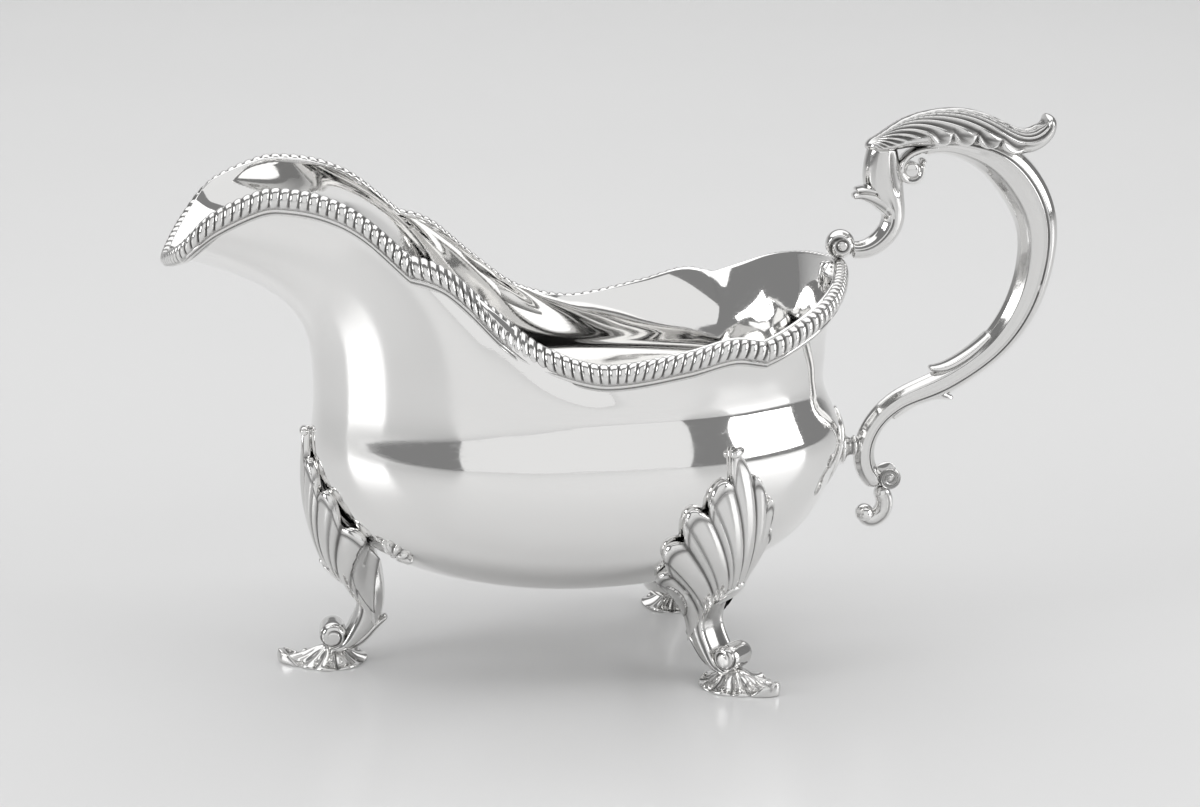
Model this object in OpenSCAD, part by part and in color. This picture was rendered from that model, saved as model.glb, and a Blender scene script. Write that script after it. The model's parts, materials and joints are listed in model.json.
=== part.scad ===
// Silver sauce boat: bellied oval body with a lipped spout, gadrooned rim, flying scroll
// handle with a leaf thumb rest, and three shell-and-scroll legs on spread feet.
// Millimetres. +X runs from the spout to the handle, +Y is the boat's left, +Z is up.
// The feet stand on z = 0 and the origin is under the middle of the overall box.

/* [Body] */
// Overall length, lip of the spout to the back of the handle
length = 229; // [215:1:245]
// Overall width across the rim border
body_w = 84; // [78:1:92]
// Thickness of the silver wall
wall_t = 1.2; // [1:0.1:1.8]

/* [Rim border] */
// Height of the gadrooned border band
border_h = 5.2; // [4.4:0.2:6]
// How far the band stands out past the rim line
border_out = 1; // [0.6:0.1:1.4]
// Radius of the plain wire under the band
wire_r = 0.85; // [0.7:0.05:1]

/* [Handle] */
// Width of the main scroll across the boat
handle_w = 8; // [6:0.5:10]
// Width of the leaf thumb rest across the boat
leaf_w = 12; // [10:0.5:14]
// Radius of the ball where the neck scroll meets the rim
ball_r = 3.8; // [3.2:0.1:4.2]

/* [Legs] */
// Distance of the front foot from the middle of the boat
front_foot_x = 74.7; // [73:0.1:76]
// Distance of the rear feet behind the middle of the boat
rear_foot_x = 23.2; // [21:0.1:25]
// Distance of the rear feet from the centre plane
rear_foot_y = 30.2; // [29:0.1:31]
// How much further back the right rear foot is set than the mean, and the left one forward
rear_skew = 3; // [0:0.5:3]
// Turn of the rear toes out from straight back
toe_turn = 47; // [42:1:52]
// Radius of the round part of a foot
foot_r = 8.7; // [7.5:0.1:9.5]
// Radius of the rolled scroll above a foot
volute_r = 4.2; // [3.8:0.1:4.4]
// Width of a leg band and its rolled scroll
leg_w = 9; // [7:0.5:10]

/* [Hidden] */
silver = [0.80, 0.80, 0.82];
kx = length / 229;
ky = body_w / 84;
$fn = 48;

// Body rings from the bottom up: height, front end, rear end, half-width.
RINGS = [[20, -13, -13, 0], [20.7, -30, 4, 10], [23.7, -42.5, 22, 20], [28, -56, 39.6, 28],
         [36, -68.8, 50.6, 35.2], [47, -75.9, 56.4, 39], [59, -78.6, 59, 40.5], [72, -77.6, 54, 38]];
RING_LEVELS = [for (i = [0:7]) [RINGS[i][0], i]];
// Part of the way from the top ring to the rim, for the rings between them.
UPPER = [0.35, 0.7, 0.9, 1];
RIM_K = 11;

// Rim line, as angle round the boat from the lip, then x, y, z. Two sharp breaks split it.
CUSP_1 = 72;
CUSP_2 = 133;
RIM_SPOUT = [[-13.5, -111, -12.9, 113.4], [0, -113.5, 0, 110], [13.5, -111, 12.9, 113.4],
             [20, -108, 21.1, 116.8], [26, -104.3, 24.6, 121], [33, -99, 25, 124.8],
             [44, -89, 24.2, 129], [49, -84, 24.2, 129.5], [57, -74.3, 25.6, 127.8],
             [64, -65, 27.3, 123.3], [72, -53.6, 29.4, 113.3]];
RIM_SIDE = [[72, -53.6, 29.4, 113.3], [75.5, -48.8, 30, 112], [79, -43.8, 30.4, 109.2],
            [85, -34.4, 31.3, 100.7], [91, -25.2, 33.9, 92.8], [97, -16.5, 36.9, 88.6],
            [104, -6.2, 39.1, 86.9], [117, 12.2, 40.8, 89.9], [126, 23.8, 41, 92.8],
            [133, 32, 39.7, 91.6]];
RIM_BACK = [[133, 32, 39.7, 91.6], [138, 37.2, 38, 93.5], [148, 46.2, 32.3, 97.5],
            [158, 53, 22.4, 100.4], [168, 57.2, 9.6, 102.2], [180, 58.7, 0, 103.2],
            [192, 57.2, -9.6, 102.2]];

// Angles round half the boat where the wall is drawn.
HALF = [0, 7, 13.5, 20, 26, 33, 41, 49, 57, 65, 72, 75.5, 80, 85, 90, 96, 104, 111, 118, 126,
        133, 138, 144, 151, 160, 170, 180];
AROUND = concat([for (i = [1:len(HALF) - 2]) -HALF[len(HALF) - 1 - i]], HALF);
LEVELS = [for (k = [0.5:0.5:RIM_K]) k];

// Section of the gadrooned band, outward and up from the rim line.
BAND = [[-1.8, -0.1], [-1, 0.35], [0, 0.1], [0.75 * border_out, -1], [border_out, -2.4],
        [0.7 * border_out, 1.3 - border_h], [-0.2, 0.1 - border_h], [-2.2, -border_h]];
RIM_INSET = 1.6;
wire_drop = border_h + 0.6;

// Feet as x, y, turn of the toe, angle of the shell round the body, body length per degree.
FRONT = [-front_foot_x * kx, 0, 180, 0, 0.68];
REAR_L = [(rear_foot_x - rear_skew) * kx, rear_foot_y * ky, toe_turn, 119, 1.08];
REAR_R = [(rear_foot_x + rear_skew) * kx, -rear_foot_y * ky, -toe_turn, -121, 1.08];

// Leg band as distance out from the foot's middle, height, thickness, width. The tops differ,
// since each meets the belly at its own height.
FRONT_TOP = [[-11, 33, 8.5, 8], [-8, 28.3, 12, 9]];
REAR_L_TOP = [[-9.6, 27.6, 6.4, 6], [-7.5, 23.7, 9, 8.5]];
REAR_R_TOP = [[-10.1, 28.7, 6.4, 6], [-7.5, 24.4, 10, 8.5]];
LEG = [[-9.2, 19.6, 8, leg_w], [-9.7, 15.5, 6.6, leg_w],
       [-8.7, 11.6, 6.2, leg_w], [-6, 8.2, 5.8, leg_w], [-3, 6.4, 5.2, leg_w]];
VOLUTE_Z = 7.6;

// Flutes of a shell: way round the body, tip height, start point, then bend point, both as
// distance out, distance across and height.
FLUTES = [[0, 63, 1.9, 0, 27.4, 8.2, 0, 42], [5.5, 57.5, 1.2, 2, 26.6, 6.6, 4, 39],
          [11.5, 50, -1.4, 3.6, 24.6, 3, 7.6, 33], [16.5, 39.5, -4.6, 4.4, 21.5, -2, 9, 27],
          [16.5, 31, -8, 4.5, 19, -7, 7.5, 23.5]];
shell_t = 1.2;

// Scrolls of the handle as x, z, thickness in the centre plane, width across.
MAIN = [[78.5, 131, 3, 5], [83.8, 132.2, 4.4, 6], [90.5, 131.3, 6.4, handle_w],
        [98, 128.2, 9.6, handle_w], [105.4, 120.8, 11.4, handle_w], [109.4, 112, 10.8, handle_w],
        [109.6, 100.8, 9.8, handle_w], [106.2, 89, 8.9, handle_w], [99.6, 79.3, 7.6, handle_w],
        [91.4, 72.6, 7, 7], [83.2, 68.3, 7, 6.8], [75.4, 65.2, 5.8, 6.6],
        [69.4, 60.4, 4.8, 6.2], [66, 53.6, 4.8, 6], [66.5, 46.6, 5, 6], [69.9, 42, 4.4, 5.6]];
NECK = [[68.4, 132.2, 7.6, 8], [68.3, 127, 9.6, 8], [69.2, 121.8, 10, 8], [71, 117, 7.4, 7.4],
        [71.2, 112.8, 6.6, 7], [68.8, 108.6, 6, 6.6], [64.8, 106, 5.4, 6], [61, 105.6, 4.6, 5.6]];
NECK_SPUR = [[66.6, 118, 3, 6], [65, 119.6, 3, 5.6], [63.2, 121.2, 2.4, 5], [62.6, 122.6, 1.2, 4]];
LEAF = [[63.8, 132.6, 2.2, 5], [68, 133.6, 3.8, 9], [74, 136.4, 6.2, 11.5],
        [82, 138, 7.6, leaf_w], [90, 137.8, 7.6, leaf_w], [98, 135.8, 5.6, 11.5],
        [104, 134, 5, 9.5], [109, 134.4, 5.4, 8.5], [111.4, 137.2, 3.6, 7.5]];
INNER_CURL = [[80.4, 128.4, 1.6, 5], [77.6, 129.6, 2, 5], [74.9, 127.4, 2, 5],
              [74.3, 124.4, 2, 5], [76.4, 122.5, 2, 5], [78.9, 123.8, 1.9, 5],
              [78.6, 126.4, 1.4, 5]];
TAIL = [[69.8, 40.4, 2.6, 5.4], [71.6, 38.4, 3.4, 5.4], [72, 35.4, 3.4, 5.2],
        [70.2, 32.4, 3.4, 5], [67, 31.9, 3.2, 5], [65.6, 34.2, 2.8, 5], [66.8, 35.8, 2, 4.6]];
SPUR = [[78, 64.2, 2, 5], [82.2, 66, 2.4, 4.8], [85.4, 65.8, 2.1, 4.4], [87.8, 64.8, 1.4, 3.6]];

// Point at t along rows of numbers, as a smooth curve through every row.
function row(m, i) = m[max(0, min(len(m) - 1, i))];
function blend(a, b, c, d, t) = 0.5 * (2 * b + (c - a) * t + (2 * a - 5 * b + 4 * c - d) * t * t
                                       + (3 * b - a - 3 * c + d) * t * t * t);
function curve(m, t) = let (i = min(floor(t), len(m) - 2))
    blend(row(m, i - 1), row(m, i), row(m, i + 1), row(m, i + 2), t - i);

// Smooth curve through rows keyed by their first number.
function slope(m, i) = (row(m, i + 1) - row(m, i - 1)) / (row(m, i + 1)[0] - row(m, i - 1)[0]);
function keyed(m, u) = let (
    i = max([for (j = [0:len(m) - 2]) if (m[j][0] <= u + 1e-6) j]),
    h = m[i + 1][0] - m[i][0], t = (u - m[i][0]) / h, s = t * t, c = s * t)
    (2 * c - 3 * s + 1) * m[i] + (c - 2 * s + t) * h * slope(m, i)
    + (3 * s - 2 * c) * m[i + 1] + (c - s) * h * slope(m, i + 1);
function rim_half(u) = let (p = keyed(u < CUSP_1 ? RIM_SPOUT : u < CUSP_2 ? RIM_SIDE : RIM_BACK, u))
    [p[1] * kx, p[2] * ky, p[3]];
function rim(u) = let (p = rim_half(min(abs(u), 360 - abs(u))), left = (u >= 0 && u <= 180) || u < -180)
    [p[0], left ? p[1] : -p[1], p[2]];

// Level outward direction of the rim line.
function rim_out(u) = let (d = rim(u + 0.5) - rim(u - 0.5), n = [-d[1], d[0], 0]) n / norm(n);

// Rings of the wall, and the wall's outer surface between them.
function ring(i, u) = let (r = RINGS[min(i, 7)], mid = (r[1] + r[2]) / 2, reach = (r[2] - r[1]) / 2,
    p = [(mid - reach * cos(u)) * kx, r[3] * sin(u) * ky, r[0]])
    i < 8 ? p : let (t = UPPER[min(i, RIM_K) - 8], flare = 2.55 + 0.95 * cos(u) + 0.5 * cos(2 * u),
    h = pow(t, flare), q = rim(u) - RIM_INSET * rim_out(u) - [0, 0, 0.25])
    [p[0] + (q[0] - p[0]) * h, p[1] + (q[1] - p[1]) * h, p[2] + (q[2] - p[2]) * t];
function skin(u, k) = let (i = min(floor(k), RIM_K - 1))
    blend(ring(max(i - 1, 0), u), ring(i, u), ring(i + 1, u), ring(min(i + 2, RIM_K), u), k - i);
function skin_out(u, k) = let (up = skin(u, min(k + 0.05, RIM_K)) - skin(u, k - 0.05),
    n = cross(up, skin(u + 0.5, k) - skin(u - 0.5, k))) n / norm(n);
function level(z) = lookup(z, RING_LEVELS);

// Skin of a tube of n sections with s points each, closed at both ends.
function tube_faces(n, s) = concat(
    [for (i = [0:n - 2], j = [0:s - 1]) let (a = i * s + j, b = i * s + (j + 1) % s) each
        [[a, b, b + s], [a, b + s, a + s]]],
    [[for (j = [s - 1:-1:0]) j]], [[for (j = [0:s - 1]) (n - 1) * s + j]]);

// A scroll along rows of x, z, thickness, width in the plane y = 0.
module scroll(rows, steps, sides = 10) {
    n = (len(rows) - 1) * steps;
    pts = [for (i = [0:n], j = [0:sides - 1]) let (t = i / steps, r = curve(rows, t),
        d = curve(rows, min(t + 0.05, len(rows) - 1)) - curve(rows, max(t - 0.05, 0)),
        l = norm([d[0], d[1]]), g = 360 * j / sides, c = r[2] / 2 * cos(g))
        [r[0] - d[1] / l * c, r[3] / 2 * sin(g), r[1] + d[0] / l * c]];
    polyhedron(pts, tube_faces(n + 1, sides), convexity = 6);
}

// Handle scrolls follow the overall length.
function stretched(rows) = [for (r = rows) [r[0] * kx, r[1], r[2], r[3]]];

// A band of the rim border between two angles round the boat.
module border(from, to, steps) {
    pts = [for (i = [0:steps], s = BAND) let (u = from + (to - from) * i / steps)
        rim(u) + s[0] * rim_out(max(min(u, to - 0.6), from + 0.6)) + [0, 0, s[1]]];
    polyhedron(pts, tube_faces(steps + 1, len(BAND)), convexity = 4);
}

// The plain wire under the border on the left half of the boat.
module wire() {
    pts = [for (u = HALF, j = [0:5]) let (g = -60 * j)
        rim(u) + (wire_r * cos(g) - 1.8) * rim_out(u) + [0, 0, wire_r * sin(g) - wire_drop]];
    polyhedron(pts, tube_faces(len(HALF), 6), convexity = 6);
}

// A raised patch on a surface of the wall: middle, half-sizes, then the two depths.
module patch(u, k, du, dk, low, high) {
    n = 16;
    rings = [0.4, 0.75, 1];
    function at(f, g, off) = let (a = u + du * f * cos(g), b = k + dk * f * sin(g))
        skin(a, b) + off * skin_out(a, b);
    top = [for (f = rings, j = [0:n - 1]) at(f, 360 * j / n, f == 1 ? (low + high) / 2 : high)];
    bottom = [for (f = rings, j = [0:n - 1]) at(f, 360 * j / n, low)];
    m = len(rings) * n;
    turn = high > low ? 0 : 1;
    function quad(a, b, c, d) = turn == 0 ? [[a, b, c], [a, c, d]] : [[c, b, a], [d, c, a]];
    faces = concat(
        [for (i = [0:len(rings) - 2], j = [0:n - 1]) let (a = i * n + j, b = i * n + (j + 1) % n)
            each quad(a + n, b + n, b, a)],
        [for (i = [0:len(rings) - 2], j = [0:n - 1]) let (a = m + i * n + j, b = m + i * n + (j + 1) % n)
            each quad(a, b, b + n, a + n)],
        [for (j = [0:n - 1]) let (a = m - n + j, b = m - n + (j + 1) % n) each quad(a, a + m, b + m, b)],
        [for (j = [0:n - 1]) let (a = j, b = (j + 1) % n) turn == 0 ? [a, b, 2 * m] : [b, a, 2 * m]],
        [for (j = [0:n - 1]) let (a = m + j, b = m + (j + 1) % n)
            turn == 0 ? [b, a, 2 * m + 1] : [a, b, 2 * m + 1]]);
    polyhedron(concat(top, bottom, [at(0, 0, high), at(0, 0, low)]), faces, convexity = 4);
}

// Point of a leg: out along the toe, across, and up.
function leg_point(leg, a, c, z) = [leg[0] + a * cos(leg[2]) - c * sin(leg[2]),
                                    leg[1] + a * sin(leg[2]) + c * cos(leg[2]), z];
module on_leg(leg) {
    translate([leg[0], leg[1], 0]) rotate([0, 0, leg[2]]) children();
}

module leg_scroll(leg, top) {
    color(silver) on_leg(leg) scroll(concat(top, LEG), 3);
}

module leg_volute(leg) {
    color(silver) on_leg(leg) translate([0, leg_w / 2, VOLUTE_Z]) rotate([90, 0, 0])
        cylinder(h = leg_w, r = volute_r);
}

// The fluted shell: each flute runs from the leg band up to a tip on the body.
module leg_shell(leg) {
    count = 2 * len(FLUTES) - 1;
    steps = 6;
    function flute(i, t) = let (side = i < len(FLUTES) - 1 ? -1 : 1, f = FLUTES[abs(i - len(FLUTES) + 1)],
        u = leg[3] - side * f[0] / leg[4], k = level(f[1]),
        q = leg_point(leg, f[2], side * f[3], f[4]), c = leg_point(leg, f[5], side * f[6], f[7]),
        e = skin(u, k) + 0.9 * skin_out(u, k))
        (1 - t) * (1 - t) * q + 2 * t * (1 - t) * c + t * t * e;
    function inward(i) = let (p = leg_point(leg, -9, (i - len(FLUTES) + 1) * 0.6, 0)
        - leg_point(leg, 1, (i - len(FLUTES) + 1) * 2.4, -2)) p / norm(p) * shell_t;
    front = [for (i = [0:count - 1], j = [0:steps]) flute(i, j / steps)];
    back = [for (i = [0:count - 1], j = [0:steps]) flute(i, j / steps) + inward(i)];
    w = steps + 1;
    m = count * w;
    faces = concat(
        [for (i = [0:count - 2], j = [0:steps - 1]) let (a = i * w + j) each
            [[a, a + 1, a + w + 1], [a, a + w + 1, a + w]]],
        [for (i = [0:count - 2], j = [0:steps - 1]) let (a = m + i * w + j) each
            [[a, a + w + 1, a + 1], [a, a + w, a + w + 1]]],
        [for (i = [0:count - 2]) let (a = i * w) each [[a, a + w, a + w + m], [a, a + w + m, a + m]]],
        [for (i = [0:count - 2]) let (a = i * w + steps) each
            [[a + w, a, a + m], [a + w, a + m, a + w + m]]],
        [for (j = [0:steps - 1]) let (a = j) each [[a + 1, a, a + m], [a + 1, a + m, a + 1 + m]]],
        [for (j = [0:steps - 1]) let (a = (count - 1) * w + j) each
            [[a, a + 1, a + 1 + m], [a, a + 1 + m, a + m]]]);
    color(silver) polyhedron(concat(front, back), faces, convexity = 6);
}

// A foot: round flat sole drawn out to a toe, with a low dome that carries the scroll.
module foot(leg) {
    sole = concat([for (g = [50:10:310]) foot_r * [cos(g), sin(g)]],
                  [[10, -4.1], [13, -1.9], [14.1, 0], [13, 1.9], [10, 4.1]]);
    color(silver) on_leg(leg) {
        linear_extrude(1.3) polygon(sole);
        rotate_extrude() polygon([[0, 0.5], [foot_r - 0.3, 0.5], [foot_r - 0.9, 1.6],
                                  [5.6, 2.4], [3.6, 3.7], [0, 3.9]]);
        translate([12.2, 0, 1.6]) sphere(r = 1.5);
    }
}

module body() {
    n = len(AROUND);
    m = n * len(LEVELS);
    outer = [for (k = LEVELS, u = AROUND) skin(u, k)];
    inner = [for (k = LEVELS, u = AROUND) skin(u, k) - wall_t * skin_out(u, k)];
    pole = skin(0, 0);
    faces = concat(
        [for (i = [0:len(LEVELS) - 2], j = [0:n - 1]) let (a = i * n + j, b = i * n + (j + 1) % n)
            each [[a, a + n, b + n], [a, b + n, b]]],
        [for (i = [0:len(LEVELS) - 2], j = [0:n - 1])
            let (a = m + i * n + j, b = m + i * n + (j + 1) % n) each [[a, b + n, a + n], [a, b, b + n]]],
        [for (j = [0:n - 1]) let (a = m - n + j, b = m - n + (j + 1) % n)
            each [[a, a + m, b + m], [a, b + m, b]]],
        [for (j = [0:n - 1]) [j, (j + 1) % n, 2 * m]],
        [for (j = [0:n - 1]) [m + (j + 1) % n, m + j, 2 * m + 1]]);
    color(silver) polyhedron(concat(outer, inner, [pole, pole + [0, 0, wall_t]]), faces, convexity = 8);
}

module rim_border_spout_left() { color(silver) border(0, CUSP_1, 14); }
module rim_border_spout_right() { color(silver) mirror([0, 1, 0]) border(0, CUSP_1, 14); }
module rim_border_side_left() { color(silver) border(CUSP_1, CUSP_2, 14); }
module rim_border_side_right() { color(silver) mirror([0, 1, 0]) border(CUSP_1, CUSP_2, 14); }
module rim_border_back_left() { color(silver) border(CUSP_2, 180, 10); }
module rim_border_back_right() { color(silver) mirror([0, 1, 0]) border(CUSP_2, 180, 10); }
module rim_wire_left() { color(silver) wire(); }
module rim_wire_right() { color(silver) mirror([0, 1, 0]) wire(); }
module handle_main_scroll() { color(silver) scroll(stretched(MAIN), 2); }
module handle_neck_scroll() { color(silver) scroll(stretched(NECK), 2); }
module handle_neck_spur() { color(silver) scroll(stretched(NECK_SPUR), 2, 8); }
module handle_leaf() { color(silver) scroll(stretched(LEAF), 2, 12); }
module handle_inner_curl() { color(silver) scroll(stretched(INNER_CURL), 2, 8); }
module handle_tail_curl() { color(silver) scroll(stretched(TAIL), 2, 8); }
module handle_spur() { color(silver) scroll(stretched(SPUR), 2, 8); }

module handle_rim_ball() {
    color(silver) translate([58 * kx, 0, 107.2]) sphere(r = ball_r);
}

module handle_lower_volute() {
    color(silver) translate([72.4 * kx, 3, 44.3]) rotate([90, 0, 0]) cylinder(h = 6, r = 3);
}

// The collared peg that holds the handle off the body.
module handle_strut() {
    color(silver) translate([59.2 * kx, 0, 52.8]) rotate([0, 90, 0])
        rotate_extrude() polygon([[0, 0], [4.7, 0], [4.7, 0.8], [3.6, 1.3], [2.4, 2.6], [2.2, 3.4],
                                  [2.8, 4], [2.2, 4.5], [3, 5.3], [0, 5.3]]);
}

module handle_body_plate() { color(silver) patch(180, level(53), 11, 0.85, -0.1, 0.9); }
module handle_root_leaf() { color(silver) patch(180, 10.1, 8, 0.85, -wall_t + 0.1, -wall_t - 1.3); }
module front_palmette_left() { color(silver) patch(34, level(33), 4, 0.3, -0.1, 1.2); }
module front_palmette_right() { color(silver) patch(-34, level(33), 4, 0.3, -0.1, 1.2); }
module front_leg_scroll() { leg_scroll(FRONT, FRONT_TOP); }
module front_leg_shell() { leg_shell(FRONT); }
module front_leg_volute() { leg_volute(FRONT); }
module front_foot() { foot(FRONT); }
module rear_left_leg_scroll() { leg_scroll(REAR_L, REAR_L_TOP); }
module rear_left_leg_shell() { leg_shell(REAR_L); }
module rear_left_leg_volute() { leg_volute(REAR_L); }
module rear_left_foot() { foot(REAR_L); }
module rear_right_leg_scroll() { leg_scroll(REAR_R, REAR_R_TOP); }
module rear_right_leg_shell() { leg_shell(REAR_R); }
module rear_right_leg_volute() { leg_volute(REAR_R); }
module rear_right_foot() { foot(REAR_R); }

body();
rim_border_spout_left();
rim_border_spout_right();
rim_border_side_left();
rim_border_side_right();
rim_border_back_left();
rim_border_back_right();
rim_wire_left();
rim_wire_right();
handle_main_scroll();
handle_neck_scroll();
handle_neck_spur();
handle_leaf();
handle_rim_ball();
handle_inner_curl();
handle_lower_volute();
handle_tail_curl();
handle_spur();
handle_strut();
handle_body_plate();
handle_root_leaf();
front_leg_scroll();
front_leg_shell();
front_leg_volute();
front_foot();
rear_left_leg_scroll();
rear_left_leg_shell();
rear_left_leg_volute();
rear_left_foot();
rear_right_leg_scroll();
rear_right_leg_shell();
rear_right_leg_volute();
rear_right_foot();
front_palmette_left();
front_palmette_right();
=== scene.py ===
"""Looks of a silver sauce boat: raised body, gadrooned rim, cast scroll handle and three shell legs.

Sizes are in millimetres while a piece is shaped, and become metres when its mesh is written. The
boat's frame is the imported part's own: +X from the spout to the handle, +Y to the boat's left, +Z up.
"""

import json
import logging
import math
from dataclasses import dataclass, field
from enum import Enum
from typing import Callable, Sequence

import bmesh
import bpy
import numpy as np
from mathutils import Matrix, Vector

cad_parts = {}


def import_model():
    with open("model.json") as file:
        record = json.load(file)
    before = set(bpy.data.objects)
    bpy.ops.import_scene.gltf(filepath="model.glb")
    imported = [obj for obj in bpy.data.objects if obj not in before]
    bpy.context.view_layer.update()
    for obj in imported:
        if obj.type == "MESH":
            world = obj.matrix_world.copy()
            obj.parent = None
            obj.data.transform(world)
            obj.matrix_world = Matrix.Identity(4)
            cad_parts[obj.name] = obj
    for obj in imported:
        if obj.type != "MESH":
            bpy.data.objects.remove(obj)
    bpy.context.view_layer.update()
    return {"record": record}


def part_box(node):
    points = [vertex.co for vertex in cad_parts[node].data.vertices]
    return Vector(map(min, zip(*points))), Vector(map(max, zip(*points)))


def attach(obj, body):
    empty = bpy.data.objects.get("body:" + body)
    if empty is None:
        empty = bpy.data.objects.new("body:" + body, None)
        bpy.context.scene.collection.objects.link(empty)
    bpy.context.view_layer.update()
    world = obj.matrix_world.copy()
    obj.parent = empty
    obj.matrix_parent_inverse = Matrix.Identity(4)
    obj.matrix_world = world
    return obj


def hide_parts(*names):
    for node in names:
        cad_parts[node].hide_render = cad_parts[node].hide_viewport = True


log = logging.getLogger("sauce_boat")
MM = 0.001
UP = np.array([0, 0, 1.0])
ACROSS = np.array([0, 1.0, 0])
# Corners closer together than this are joined, in metres.
SAME_PLACE = 2e-6
# Share of the way round a rim strip that shows; the rest runs back inside the wall.
SHOWN = 0.7
# How far the back of a rim strip lies under the wall's surface, in mm.
SUNK = 0.6
# Share of the way across a thin plate at which its front reaches the edge.
PLATE_EDGE = 0.46
# Colour of the cast silver, a little greyer than the raised body.
CAST_TONE = (0.74, 0.736, 0.728)

Array = np.ndarray
# A surface: its two directions, each 0 to 1, give points in mm and how dark each is painted, as tarnish
# and painted shade.
Place = Callable[[Array, Array], tuple[Array, Array | None]]
# A bar's section: the angle round it and the way along it give thickness, width and painted darkness
# (tarnish and painted shade).
Section = Callable[[Array, Array], tuple[Array, Array, Array]]


class Side(Enum):
    """A side of the boat, as the sign of y."""

    LEFT = 1
    RIGHT = -1


class Slot(Enum):
    """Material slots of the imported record."""

    BODY = "polished_silver_body"
    BORDER = "cast_silver_border"
    HANDLE = "cast_silver_handle"
    LEGS = "cast_silver_legs"


# ---------------------------------------------------------------- curves and surfaces


class Spline:
    """A smooth curve through rows of numbers, with no change of bend at the rows."""

    def __init__(self, rows: Sequence[Sequence[float]], keys: Sequence[float] | None = None) -> None:
        """Fits the curve.

        Args:
            rows: the points to pass through, any number of columns.
            keys: where each row falls; spaced by distance when left out.
        """
        self.rows = np.array(rows, float)
        if keys is None:
            steps = np.linalg.norm(np.diff(self.rows[:, :2], axis=0), axis=1)
            keys = np.concatenate([[0.0], np.cumsum(steps)])
        self.keys = np.array(keys, float)
        n, h = len(self.keys), np.diff(self.keys)
        m = np.zeros((n, n))
        r = np.zeros_like(self.rows)
        m[0, 0] = m[-1, -1] = 1.0
        for i in range(1, n - 1):
            m[i, i - 1 : i + 2] = h[i - 1], 2 * (h[i - 1] + h[i]), h[i]
            rise = np.diff(self.rows[i - 1 : i + 2], axis=0)
            r[i] = 6 * (rise[1] / h[i] - rise[0] / h[i - 1])
        self.bend = np.linalg.solve(m, r)

    @property
    def length(self) -> float:
        """The last key."""
        return float(self.keys[-1])

    def at(self, t: Array) -> Array:
        """Points of the curve.

        Args:
            t: keys to read at.

        Returns:
            One row per key.
        """
        i = np.clip(np.searchsorted(self.keys, t, side="right") - 1, 0, len(self.keys) - 2)
        h = (self.keys[i + 1] - self.keys[i])[:, None]
        a = (self.keys[i + 1] - t)[:, None] / h
        b = 1 - a
        return (
            a * self.rows[i]
            + b * self.rows[i + 1]
            + ((a**3 - a) * self.bend[i] + (b**3 - b) * self.bend[i + 1]) * h * h / 6
        )

    def slope(self, t: Array) -> Array:
        """Direction of travel at keys t, not scaled to one."""
        e = self.length * 1e-4
        return self.at(np.clip(t + e, 0, self.length)) - self.at(np.clip(t - e, 0, self.length))


def unit(v: Array) -> Array:
    """Rows scaled to length one."""
    return v / np.maximum(np.linalg.norm(v, axis=-1, keepdims=True), 1e-12)


def spread(s: Array, t: Array) -> tuple[Array, Array]:
    """Turns a grid's directions into those of a thin plate, its front and back in one.

    Args:
        s: way round the plate, 0 to 1.
        t: way from the middle of the front, over the edge, to the middle of the back.

    Returns:
        Angles in radians, and reach from 0 in the middle to 1 at the edge.
    """
    return s * math.tau, np.clip(np.where(t < 0.5, t, 1 - t) / PLATE_EDGE, 0, 1)


def smooth(x: Array, low: float, high: float) -> Array:
    """A soft step from 0 at low to 1 at high."""
    t = np.clip((x - low) / (high - low), 0, 1)
    return t * t * (3 - 2 * t)


def bump(x: Array, middle: float, width: float) -> Array:
    """A soft bump of height one."""
    return np.exp(-(((x - middle) / width) ** 2))


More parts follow.
